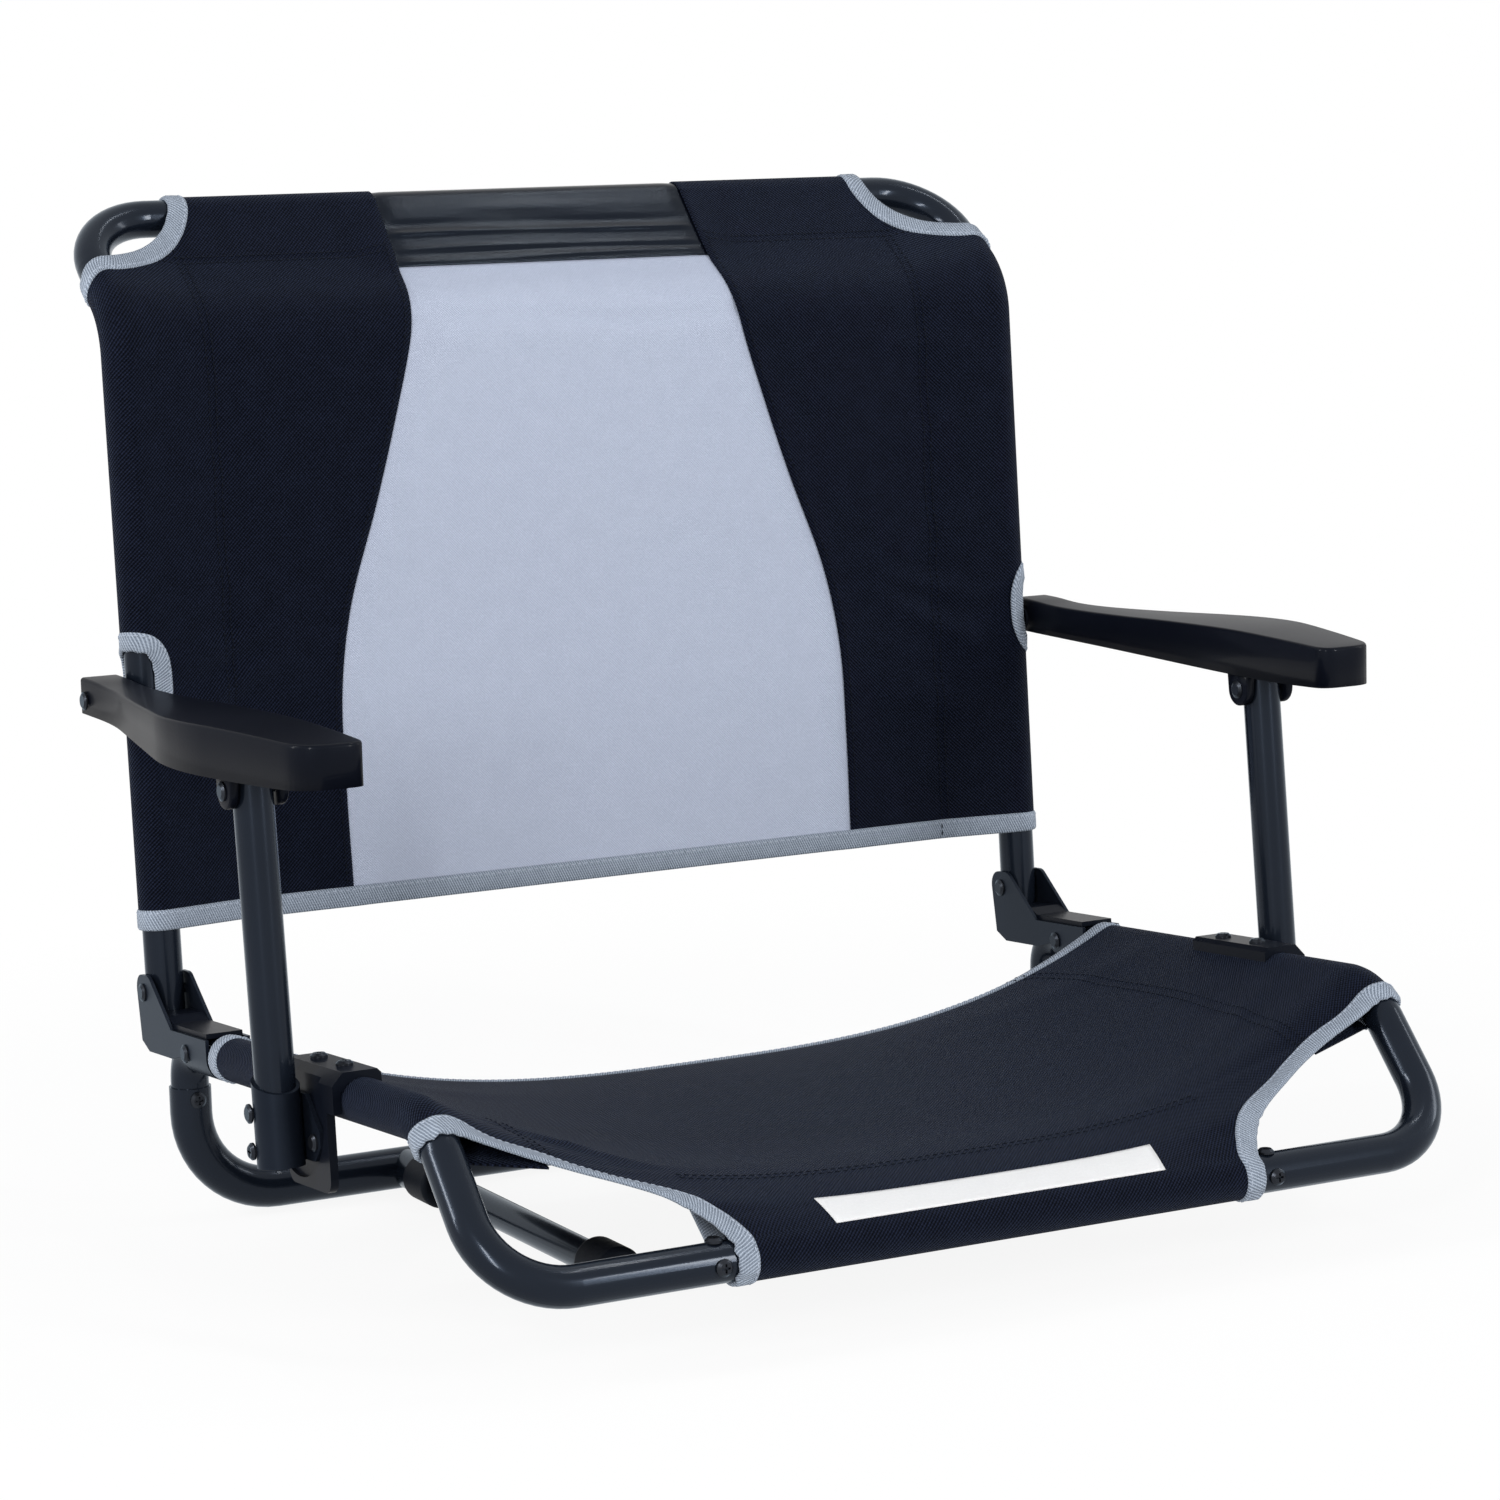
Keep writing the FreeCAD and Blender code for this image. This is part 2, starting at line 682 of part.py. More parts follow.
ring(bolt_hole, "pin_r + pin_play / 2", "0", "pivot_w")
pocket(clamp, bolt_hole, "clamp_plate * 2")
top_holes = new_sketch(clamp, "XY_Plane", "clamp_top")
ring(top_holes, "screw_r + pin_play", "0", "clamp_screw_rear")
ring(top_holes, "screw_r + pin_play", "0", "0 - clamp_screw_front")
pocket(clamp, top_holes, "clamp_top")
plate_foot = value(PLATE_FOOT)
fillet(clamp, "clamp_plate_rear / 2", lambda edge: across_edge(edge, -size("clamp_plate_front"), plate_foot)
       or across_edge(edge, size("clamp_plate_rear"), plate_foot))
keep_pair("arm_clamp", clamp)

screws = [pan_screw(f"clamp_screw_{number}", "9", spot, RAIL_TURN)
          for number, spot in enumerate(clamp_screw_spots)]
keep_group("clamp_screws", screws)

# The post's pivot bolt runs from the clamp's plate through the tab, the post and the socket to its head

BOLT_REACH = "post_x - side_x - plate_in"
BOLT_HEAD = "socket_out + soft_gap"
bolt = turned("post_pivot_bolt", [
    ("0", f"0 - ( {BOLT_REACH} )"), ("pin_r", f"0 - ( {BOLT_REACH} )"), ("pin_r", BOLT_HEAD),
    ("rivet_head_r", BOLT_HEAD), ("rivet_head_r", f"{BOLT_HEAD} + rivet_head_h * 0.5"),
    ("rivet_head_r * 0.7", f"{BOLT_HEAD} + rivet_head_h"), ("0", f"{BOLT_HEAD} + rivet_head_h"),
], post_pivot, ALONG_X)
keep_group("post_pivot_bolts", [bolt])

front_face = front_axis + forward * tube_r
front_top = front_axis + upward * tube_r
keep_group("front_bar_screws", [
    pan_screw("front_bar_screw", "7", front_face, FACING_FRONT),
    pan_screw("top_bar_screw", "7", front_top, Rotation()),
])

# Seat sling: fabric hung between the rails, which sags in the middle and runs forward to the front bar

front_bar_back = Vector(0, front_y, size("front_bar_z")) - hinge_foot
bar_run = front_bar_back.dot(RAIL_BACK)
bar_fall = front_bar_back.dot(RAIL_UP)
sleeve_r = size("sleeve_out")


def half_section(back, half, edge_up, sag, thick):
    """Half of a cross-section of hanging cloth, from the middle to its edge, in the rail's frame."""
    sweep_r = (half ** 2 + sag ** 2) / (2 * sag)
    lean = math.asin(half / sweep_r) / 2
    between = (sweep_r * math.sin(lean), sweep_r * (1 - math.cos(lean)) - sag)

    def place(across, level, hang=0):
        return Vector(across, back, edge_up + level + hang)
    over = thick / 2
    edges = [
        Part.Arc(place(0, over, -sag), place(between[0], over, between[1]), place(half, over)),
        Part.LineSegment(place(half, over), place(half, -over)),
        Part.Arc(place(half, -over), place(between[0], -over, between[1]), place(0, -over, -sag)),
        Part.LineSegment(place(0, -over, -sag), place(0, over, -sag)),
    ]
    return Part.Wire([edge.toShape() for edge in edges])


def hung_cloth(label, sections):
    """Loft one half through its sections and join it to its mirror image."""
    half = Part.makeLoft(sections, True, True)
    cloth = doc.addObject("Part::Feature", label)
    cloth.Shape = half.fuse(half.mirror(Vector(), Vector(1, 0, 0))).removeSplitter()
    cloth.Placement = Placement(Vector(0, hinge_foot.y, hinge_foot.z), RAIL_TURN)
    keep(label, cloth)


edge_half = size("soft_edge")
corner_run = -(hinge_foot.y - leg_top.y) / math.cos(math.radians(size("recline")))
corner_half = edge_half - size("bend_r") / 2
rear_run = -size("sling_rear")
front_run = bar_run + sleeve_r * 0.75
front_up = bar_fall + sleeve_r * 0.9
sag = size("sling_sag")
thick = size("sling")
hung_cloth("seat_sling", [
    half_section(rear_run, edge_half, 0, sag, thick),
    half_section((rear_run + corner_run) / 2, edge_half, 0, sag * 1.12, thick),
    half_section(corner_run + size("bend_r") / 2, corner_half, -1, sag * 1.25, thick),
    half_section(front_run, size("sling_front_half"), front_up, size("sling_front_sag"), thick),
])
hung_cloth("seat_rear_binding", [
    half_section(rear_run + size("binding_w"), edge_half, 0, sag, size("binding")),
    half_section(rear_run, edge_half, 0, sag, size("binding")),
])

sleeve_start = -size("bracket_len") - 1
sleeve_end = corner_run + size("bend_r") * 0.5
rail_sleeve = pipe(
    "rail_sleeve", "sleeve_out", "sleeve_in", f"{sleeve_start - sleeve_end}",
    on_rail(sleeve_end, 0), RAIL_TURN.multiply(ALONG_Y),
)
sleeve_holes = [doc.addObject("Part::Cylinder", f"sleeve_hole_{number}") for number in range(2)]
for hole, spot in zip(sleeve_holes, clamp_screw_spots):
    hole.setExpression("Radius", bound("screw_r + cloth_gap"))
    hole.setExpression("Height", bound("clamp_top"))
    hole.Placement = Placement(spot - RAIL_UP * size("clamp_top"), RAIL_TURN)
hole_pair = doc.addObject("Part::MultiFuse", "sleeve_hole_pair")
hole_pair.Shapes = sleeve_holes
holed_sleeve = doc.addObject("Part::Cut", "holed_sleeve")
holed_sleeve.Base = rail_sleeve
holed_sleeve.Tool = hole_pair
keep_pair("rail_sleeve", holed_sleeve)
keep("front_bar_sleeve", pipe(
    "front_bar_sleeve", "sleeve_out", "sleeve_in", "sling_front_half * 2",
    (-size("sling_front_half"), front_y, size("front_bar_z")), ALONG_X,
))

# Back frame: two uprights that curl back into the top bar, with plugs in their lower ends

tail = on_rail(0, size("hinge_rise") - size("tail_len"))
curl = on_rail(0, size("hinge_rise") + size("curl_len"))
bent_tube(
    "back_frame_tube",
    [tail, curl, Vector(side_x, top_bar_y, top_bar_z)],
    [size("bend_r"), size("bend_r")],
    size("tube_od"), size("tube_wall"), [through(hinge), through(arm_pivot)],
)
keep_group("back_tube_plugs", [turned("back_tube_plug", [
    ("0", "0 - plug_lip"), ("tube_r - 1", "0 - plug_lip"), ("tube_r", "0"), ("plug_r", "0"),
    ("plug_r", "plug_len"), ("0", "plug_len"),
], tail, RAIL_TURN)])

# Arm pivots: a bolt from the armrest's outer face through the upright, with a washer between the two

arm_bolt = turned("arm_pivot_bolt", [
    ("0", "0 - tube_r - rivet_head_h"), ("rivet_head_r * 0.7", "0 - tube_r - rivet_head_h"),
    ("rivet_head_r", "0 - tube_r - rivet_head_h / 2"), ("rivet_head_r", "0 - tube_r"),
    ("pin_r", "0 - tube_r"), ("pin_r", "arm_rear + cloth_gap"),
    ("rivet_head_r", "arm_rear + cloth_gap"),
    ("rivet_head_r", "arm_rear + cloth_gap + rivet_head_h / 2"),
    ("rivet_head_r * 0.7", "arm_rear + cloth_gap + rivet_head_h"),
    ("0", "arm_rear + cloth_gap + rivet_head_h"),
], arm_pivot, ALONG_X)
keep_group("arm_pivot_bolts", [arm_bolt])
keep_group("arm_pivot_washers", [turned("arm_pivot_washer", [
    ("pin_r + pin_play", "sleeve_in"), ("washer_r", "sleeve_in"),
    ("washer_r", "arm_inner - soft_gap"), ("pin_r + pin_play", "arm_inner - soft_gap"),
], arm_pivot, ALONG_X)])

# Back cover: three panels between the uprights that bend over the curl to the top bar, and their sleeves

top_from_hinge = Vector(0, top_bar_y, top_bar_z) - Vector(0, hinge.y, hinge.z)
top_run = top_from_hinge.dot(RAIL_BACK)
top_rise = top_from_hinge.dot(RAIL_UP)
slope = Vector(0, top_run, top_rise - size("curl_len"))
slope_len = slope.Length - sleeve_r - size("soft_gap")
slope.normalize()
mitre = size("panel") / 2 * math.tan(math.atan2(slope.y, slope.z) / 2)
HALF_PANEL = "panel / 2"


def back_panel(name, start, width):
    body = new_body(name, hinge - Vector(side_x, 0, 0), RAIL_TURN)
    half = size("panel") / 2
    end = Vector(0, slope.y * slope_len, size("curl_len") + slope.z * slope_len)
    side = Vector(0, slope.z * half, -slope.y * half)
    sketch = new_sketch(body, "YZ_Plane", start)
    outline(sketch, [
        (f"0 - {HALF_PANEL}", "hem_rise"), (HALF_PANEL, "hem_rise"),
        (HALF_PANEL, f"curl_len - {mitre}"),
        (f"{end.y + side.y}", f"{end.z + side.z}"), (f"{end.y - side.y}", f"{end.z - side.z}"),
        (f"0 - {HALF_PANEL}", f"curl_len + {mitre}"),
    ])
    pad(body, sketch, width)
    return body


def cut_corner_and_arm(body):
    """Open the panel's outer edge at the bent top corner and round the arm's pivot."""
    front = new_sketch(body, "XZ_Plane")
    outline(front, [
        ("soft_edge + 1", "curl_len - corner_drop"), ("soft_edge + 1", "back_rise * 1.2"),
        ("top_sleeve_half", "back_rise * 1.2"), ("top_sleeve_half", f"{top_rise - sleeve_r}"),
    ])
    pocket(body, front, "back_rise", both=True)
    arm_side = new_sketch(body, "XZ_Plane")
    ring(arm_side, "cutout_r", "soft_edge", "arm_pivot_len + ( cutout_high - cutout_low ) / 2")
    pocket(body, arm_side, "back_rise", both=True)


side_panel = back_panel("back_panel", "seam_x", "soft_edge - seam_x")
cut_corner_and_arm(side_panel)
keep_pair("back_panel", side_panel)
keep("back_centre_panel", back_panel("back_centre_panel", "0 - seam_x", "seam_x * 2"))

hem = new_body("back_hem_binding", hinge - Vector(side_x, 0, 0), RAIL_TURN)
hem_side = new_sketch(hem, "YZ_Plane")
outline(hem_side, [
    ("0 - binding / 2", "hem_rise - binding_w"), ("binding / 2", "hem_rise - binding_w"),
    ("binding / 2", "hem_rise"), ("0 - binding / 2", "hem_rise"),
])
pad(hem, hem_side, "soft_edge * 2", both=True)
keep("back_hem_binding", hem)

low_start = size("hem_rise") - size("binding_w")
low_end = size("arm_pivot_len") - size("cutout_low")
high_start = size("arm_pivot_len") + size("cutout_high")
high_end = size("curl_len") - size("bend_r") * 0.55
lower_sleeve = pipe(
    "lower_sleeve", "sleeve_out", "sleeve_in", f"{low_end - low_start}",
    hinge + RAIL_UP * low_start, RAIL_TURN,
)
upper_sleeve = pipe(
    "upper_sleeve", "sleeve_out", "sleeve_in", f"{high_end - high_start}",
    hinge + RAIL_UP * high_start, RAIL_TURN,
)
side_sleeve = doc.addObject("Part::Compound", "back_sleeve")
side_sleeve.Links = [lower_sleeve, upper_sleeve]
keep_pair("back_sleeve", side_sleeve)
keep_group("top_sleeves", [pipe(
    "top_sleeve", "sleeve_out", "sleeve_in", "top_sleeve_half - seam_x",
    (size("seam_x"), top_bar_y, top_bar_z), ALONG_X,
)])
keep("top_wrap", pipe(
    "top_wrap", "sleeve_out", "sleeve_in", "seam_x * 2",
    (-size("seam_x"), top_bar_y, top_bar_z), ALONG_X,
))

# Armrests: hollow moulded shells, open below, with a boss at the rear pivot and two lugs over the post

armrest = new_body("armrest", arm_pivot)
plan = new_sketch(armrest, "XY_Plane", "0 - arm_under")
outline(plan, [
    ("arm_inner", "arm_tail"), ("arm_rear", "arm_tail"),
    ("arm_rear", "0 - arm_neck"), ("arm_front", "0 - arm_shoulder"),
    ("arm_front", "0 - arm_hip"), ("nose_outer", "0 - arm_nose"),
    ("nose_inner", "0 - arm_nose"), ("nose_inner", "0 - arm_nose * 0.8"),
    ("arm_inner", "0 - arm_slant"),
])
pad(armrest, plan, "arm_under + arm_crest")


def upright(edge):
    if len(edge.Vertexes) != 2:
        return None
    first, last = (vertex.Point for vertex in edge.Vertexes)
    level = abs(first.x - last.x) < 0.01 and abs(first.y - last.y) < 0.01
    return first if level else None


def upright_at(edge, spans):
    foot = upright(edge)
    return foot is not None and any(low < foot.y < high for low, high in spans)


nose = size("arm_nose")
fillet(armrest, "arm_rear_w * 0.6", lambda edge: upright_at(edge, [(-nose - 1, -nose + 1)]))
outer_bends = [(-size(bend) - 1, -size(bend) + 1) for bend in ("arm_shoulder", "arm_hip")]
fillet(armrest, "arm_bow", lambda edge: upright_at(edge, outer_bends))
inner_bends = [(-nose * 0.81, -nose * 0.79), (-size("arm_slant") - 1, -1)]
fillet(armrest, "arm_neck", lambda edge: upright_at(edge, inner_bends))
fillet(armrest, "arm_skin", lambda edge: upright_at(edge, [(1, nose)]))
trim = new_sketch(armrest, "YZ_Plane")
outline(trim, [
    ("arm_tail * 2", "0 - arm_under * 2"), ("arm_tail * 2", "arm_top * 2"),
    ("0 - arm_nose * 1.1", "arm_top * 2"), ("0 - arm_nose * 1.1", "0 - arm_under * 2"),
])
outline(trim, [
    ("arm_tail * 1.5", "0 - arm_heel"), ("0 - arm_slant", "0 - arm_loin"),
    ("0 - link_run", "0 - arm_under"), ("0 - arm_nose * 1.05", "0 - arm_toe"),
    ("0 - arm_nose * 1.05", "arm_tip"), ("0 - link_run", "arm_crest"),
    ("0 - arm_slant", "arm_waist"), ("arm_tail * 1.5", "arm_top"),
])
pocket(armrest, trim, "arm_nose", both=True)
hollow = new_sketch(armrest, "XY_Plane", "arm_waist - arm_skin")
outline(hollow, [
    ("arm_inner + arm_skin", "0 - arm_boss"), ("arm_rear - arm_skin", "0 - arm_boss"),
    ("arm_rear - arm_skin", "0 - arm_neck - arm_skin"),
    ("arm_front - arm_skin", "0 - arm_shoulder - arm_skin"),
    ("arm_front - arm_skin", "0 - arm_hip"),
    ("nose_outer - arm_skin * 1.5", "0 - arm_nose + arm_skin * 3"),
    ("nose_inner + arm_skin * 3", "0 - arm_nose + arm_skin * 2"),
    ("nose_inner + arm_skin", "0 - arm_nose * 0.85"),
    ("arm_inner + arm_skin", "0 - arm_slant"),
])
pocket(armrest, hollow, "arm_under * 3")

lug_y = lug_pivot.y - arm_pivot.y
lug_z = lug_pivot.z - arm_pivot.z
for offset in ("post_x - side_x + lug_in", "post_x - side_x - lug_in - lug_w"):
    lug = new_sketch(armrest, "YZ_Plane", offset)
    outline(lug, [
        (f"{lug_y} - lug_r", f"{lug_z} - lug_r"), (f"{lug_y} + lug_r", f"{lug_z} - lug_r"),
        (f"{lug_y} + lug_r", "arm_waist - arm_skin"), (f"{lug_y} - lug_r", "arm_waist - arm_skin"),
    ])
    pad(armrest, lug, "lug_w")
lug_foot = lug_z - size("lug_r")
fillet(armrest, "lug_r * 0.95", lambda edge: across_edge(edge, lug_y - size("lug_r"), lug_foot)
       or across_edge(edge, lug_y + size("lug_r"), lug_foot))
pin_bores = new_sketch(armrest, "YZ_Plane")
ring(pin_bores, "pin_r + pin_play", "0", "0")
ring(pin_bores, "pin_r + pin_play", f"{lug_y}", f"{lug_z}")
pocket(armrest, pin_bores, "post_x * 2", both=True)
keep_pair("armrest", armrest)

LUG_GRIP = "lug_in + lug_w + pin_play"
keep_pair("lug_pin", rivet("lug_pin", "pin_r", LUG_GRIP, lug_pivot))

# Posts: a straight tube, leaned back from the pivot bolt to the lug pin, in a sheet-steel socket with a tab

post_end = lug_pivot - POST_UP * size("post_tail")
post = pipe("post_tube", "tube_r", "tube_r - tube_wall", "post_tail + post_head", post_end, POST_TURN)
pivot_offset = post_pivot - lug_pivot
pivot_back = pivot_offset.dot(POST_TURN.multVec(Vector(0, 1, 0)))
pivot_up = pivot_offset.dot(POST_UP)
post_bores = new_sketch(post, "YZ_Plane")
ring(post_bores, "pin_r + pin_play", "0", "post_tail")
ring(post_bores, "pin_r + pin_play", f"{pivot_back}", f"post_tail + {pivot_up}")
pocket(post, post_bores, "tube_od * 2", both=True)
low_hole = new_sketch(post, "YZ_Plane", "tube_od")
ring(low_hole, "screw_r + pin_play", f"{pivot_back}", f"post_tail + {pivot_up} - low_screw_drop")
pocket(post, low_hole, "tube_od")
keep_pair("post_tube", post)

socket = pipe("post_socket", "socket_out", "socket_in", "socket_len", post_end, POST_TURN)
tab_sheet = new_sketch(socket, "YZ_Plane", "0 - socket_out - tab_back")
PIVOT_HIGH = f"post_tail + {pivot_up}"
outline(tab_sheet, [
    (f"{pivot_back} + pin_r * 2", f"{PIVOT_HIGH} + pin_r * 3"),
    (f"{pivot_back} - pin_r * 5", f"{PIVOT_HIGH} + pin_r * 3"),
    (f"{pivot_back} - tab_reach - pin_r * 2", f"{PIVOT_HIGH} - tab_drop * 0.38"),
    (f"{pivot_back} - tab_reach - pin_r * 2", f"{PIVOT_HIGH} - tab_drop * 0.7"),
    (f"{pivot_back} - tab_reach + pin_r", f"{PIVOT_HIGH} - tab_drop"),
    (f"{pivot_back} + pin_r * 2", f"{PIVOT_HIGH} - tab_drop"),
])
pad(socket, tab_sheet, "tab_thick")
slant = new_sketch(socket, "YZ_Plane")
outline(slant, [
    ("socket_out", "socket_len"), ("0 - socket_out - 0.5", "socket_len - socket_slope"),
    ("0 - socket_out - 0.5", "socket_len + 1"), ("socket_out", "socket_len + 1"),
])
pocket(socket, slant, "tube_od * 2", both=True)
bolt_bore = new_sketch(socket, "YZ_Plane")
ring(bolt_bore, "pin_r + pin_play", f"{pivot_back}", PIVOT_HIGH)
pocket(socket, bolt_bore, "tube_od * 2", both=True)
rivet_bore = new_sketch(socket, "YZ_Plane")
ring(rivet_bore, "screw_r", f"{pivot_back} - tab_rivet_out - pin_r * 2", f"{PIVOT_HIGH} - tab_rivet_drop")
pocket(socket, rivet_bore, "tube_od * 2", both=True)
low_bore = new_sketch(socket, "YZ_Plane", "tube_od")
ring(low_bore, "screw_r + pin_play", f"{pivot_back}", f"{PIVOT_HIGH} - low_screw_drop")
pocket(socket, low_bore, "tube_od")
keep_pair("post_socket", socket)


def on_post(across, back, up):
    """A point in the post's frame, measured from its pivot bolt."""
    turned_offset = POST_TURN.multVec(Vector(across, back, up))
    return post_pivot + turned_offset


keep_pair("socket_screw", pan_screw(
    "socket_screw", "7", on_post(size("socket_out"), 0, -size("low_screw_drop")), ALONG_X))
tab_face = value("0 - socket_out - tab_back + tab_thick")
tab_rivet_back = -size("tab_rivet_out") - size("pin_r") * 2
keep_pair("tab_rivet", pan_screw(
    "tab_rivet", "tab_thick", on_post(tab_face, tab_rivet_back, -size("tab_rivet_drop")),
    ALONG_X, crossed=False,
))
plug = turned("post_plug", [
    ("0", "0"), ("plug_r", "0"), ("plug_r", "0 + plug_lip"), ("tube_r", "0 + plug_lip"),
    ("tube_r - 1.5", "post_plug_dome"), ("0", "post_plug_dome"),
], lug_pivot + POST_UP * (size("post_head") - size("plug_lip")), POST_TURN)
keep_pair("post_plug", plug)

# Check every object, then write one file for each piece

doc.recompute()
for thing in doc.Objects:
    if "Invalid" in thing.State or "Error" in thing.State:
        raise RuntimeError(f"{thing.Label} failed: {thing.State}")
for piece in SUBPARTS:
    if piece.Shape.isNull() or not piece.Shape.isValid():
        raise RuntimeError(f"{piece.Label} has no valid shape")
os.makedirs("parts", exist_ok=True)
for piece in SUBPARTS:
    piece.Shape.exportStep(os.path.join("parts", piece.Label + ".step"))
print(f"{len(SUBPARTS)} pieces written")
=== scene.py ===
# %% [markdown]
# # A folding stadium chair, dressed around its steel frame
# The chair hooks onto a bench. Its tubes, brackets and screws come from the construction model and keep
# their shape here. Cloth, tape, thread and moulded armrests are modelled in this lesson, each from the
# measure of the tube that it hangs on, and every surface gets a finish made from nodes.

# %% Load the frame
import math

import bmesh
import bpy
import numpy as np
from mathutils import Matrix, Vector
from mathutils.bvhtree import BVHTree


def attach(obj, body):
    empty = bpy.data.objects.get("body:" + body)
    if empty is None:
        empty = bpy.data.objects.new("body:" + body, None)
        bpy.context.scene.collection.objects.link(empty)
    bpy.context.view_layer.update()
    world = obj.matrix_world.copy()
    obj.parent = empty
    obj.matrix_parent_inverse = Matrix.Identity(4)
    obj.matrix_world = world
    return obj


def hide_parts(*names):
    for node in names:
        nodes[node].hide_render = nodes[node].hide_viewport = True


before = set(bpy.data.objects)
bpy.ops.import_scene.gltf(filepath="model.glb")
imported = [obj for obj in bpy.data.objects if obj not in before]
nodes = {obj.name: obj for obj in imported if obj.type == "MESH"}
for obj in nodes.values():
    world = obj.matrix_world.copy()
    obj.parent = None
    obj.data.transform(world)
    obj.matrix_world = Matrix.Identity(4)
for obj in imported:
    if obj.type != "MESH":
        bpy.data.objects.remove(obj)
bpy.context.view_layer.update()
scene = bpy.context.scene
MM = 0.001

# %% [markdown]
# ## Camera
# The picture shows the chair from its left front corner, a little above the armrests, through a long lens.
# A camera can be aimed by eye, but here its place and turn were worked out from known points of the frame,
# so the three axes of the view are simply written into its matrix.

# %% Camera
camera = bpy.data.objects.new("camera", bpy.data.cameras.new("camera"))
scene.collection.objects.link(camera)
camera.data.lens = 103.16
camera.data.sensor_width = 36
view_axes = Matrix(((0.8809, 0.0898, -0.4647), (-0.4726, 0.1133, -0.8739), (-0.0258, 0.9894, 0.1422)))
camera.rotation_mode = "QUATERNION"
camera.rotation_quaternion = view_axes.to_quaternion()
camera.location = (-0.9914, -1.8706, 0.5343)
scene.camera = camera
print("camera", [round(v, 3) for v in camera.location])

# %% [markdown]
# ## Finishes: small helpers
# A finish is a tree of nodes. Typing every link makes the trees hard to read, so these helpers add a node
# with its values in one line. Effects that several finishes share, such as a weave, become node groups.


# %% Node helpers
def fill_in(tree, node, values):
    """A socket gets a constant as it is, and another node's output by a link."""
    for socket, value in values.items():
        if isinstance(value, bpy.types.NodeSocket):
            tree.links.new(value, node.inputs[socket])
        else:
            node.inputs[socket].default_value = value


def add_node(tree, kind, values=None, **settings):
    node = tree.nodes.new("ShaderNode" + kind)
    for name, setting in settings.items():
        setattr(node, name, setting)
    fill_in(tree, node, values or {})
    return node


def calc(tree, operation, first, second=0.0, third=0.0):
    return add_node(tree, "Math", {0: first, 1: second, 2: third}, operation=operation).outputs[0]


def spread(tree, factor, low, high):
    return add_node(tree, "MapRange", {"Value": factor, "To Min": low, "To Max": high}).outputs["Result"]


# The colour sockets of a Mix node share their names with its number sockets, so they are found by type.
def two_tone(tree, factor, low, high):
    node = tree.nodes.new("ShaderNodeMix")
    node.data_type = "RGBA"
    tree.links.new(factor, node.inputs["Factor"])
    ends = [socket for socket in node.inputs if socket.type == "RGBA"]
    ends[0].default_value = (*low, 1)
    ends[1].default_value = (*high, 1)
    return next(socket for socket in node.outputs if socket.type == "RGBA")


print("node helpers ready")


# %% Group and finish helpers
def new_group(name, inputs, outputs):
    group = bpy.data.node_groups.new(name, "ShaderNodeTree")
    for label, kind in inputs:
        group.interface.new_socket(name=label, in_out="INPUT", socket_type="NodeSocket" + kind)
    for label, kind in outputs:
        group.interface.new_socket(name=label, in_out="OUTPUT", socket_type="NodeSocket" + kind)
    return group, group.nodes.new("NodeGroupInput"), group.nodes.new("NodeGroupOutput")


def use_group(tree, group, values):
    return add_node(tree, "Group", values, node_tree=group)


def new_finish(name):
    material = bpy.data.materials.new(name)
    material.use_nodes = True
    tree = material.node_tree
    return material, tree, tree.nodes["Principled BSDF"]


def bump(tree, height, distance):
    return add_node(tree, "Bump", {"Height": height, "Distance": distance, "Strength": 1.0}).outputs["Normal"]


print("group and finish helpers ready")

# %% [markdown]
# ## Shared effects: weave, ribs and grain
# Woven cloth shows fine slanted lines where one yarn floats over two. Two crossed sine waves on the cloth's
# own UV map, which is in metres, give that twill at its real pitch, and two noises make the yarns uneven.
# The waves set the colour as well: the gaps between the yarns are painted darker, as painted shade. Ribbed
# tape is one set of waves across its length, with painted shade in the grooves between its ribs. Grain is
# noise at two sizes: a fine one for the surface and a broad one for uneven colour.

# %% Weave group
weave, ends_in, ends_out = new_group(
    "twill_weave", [("Cloth", "Vector"), ("Pitch", "Float")], [("Height", "Float"), ("Tone_and_painted_shade", "Float")])
parts = add_node(weave, "SeparateXYZ", {"Vector": ends_in.outputs["Cloth"]})
turns = calc(weave, "DIVIDE", 2 * math.pi, ends_in.outputs["Pitch"])
across = calc(weave, "MULTIPLY", parts.outputs["X"], turns)
along = calc(weave, "MULTIPLY", parts.outputs["Y"], turns)
slant = calc(weave, "SINE", calc(weave, "ADD", across, along))
counter = calc(weave, "SINE", calc(weave, "SUBTRACT", across, along))
yarns = calc(weave, "MULTIPLY_ADD", slant, 0.36, calc(weave, "MULTIPLY_ADD", counter, 0.14, 0.5))
slubs = add_node(weave, "TexNoise", {"Vector": ends_in.outputs["Cloth"], "Scale": 90.0, "Detail": 3.0})
specks = add_node(weave, "TexNoise", {"Vector": ends_in.outputs["Cloth"], "Scale": 620.0, "Detail": 1.0})
uneven = calc(weave, "MULTIPLY_ADD", specks.outputs["Fac"], 0.5,
              calc(weave, "MULTIPLY_ADD", slubs.outputs["Fac"], 0.25, -0.3))
# The shade output mixes two things: the yarn relief, painted as shade in the gaps between yarns, and uneven
# yarn colour from the two noises.
mixed = calc(weave, "MAXIMUM", calc(weave, "MULTIPLY_ADD", yarns, 0.85, uneven), 0.0)
weave.links.new(yarns, ends_out.inputs["Height"])
weave.links.new(calc(weave, "POWER", mixed, 1.8), ends_out.inputs["Tone_and_painted_shade"])
print("weave made")

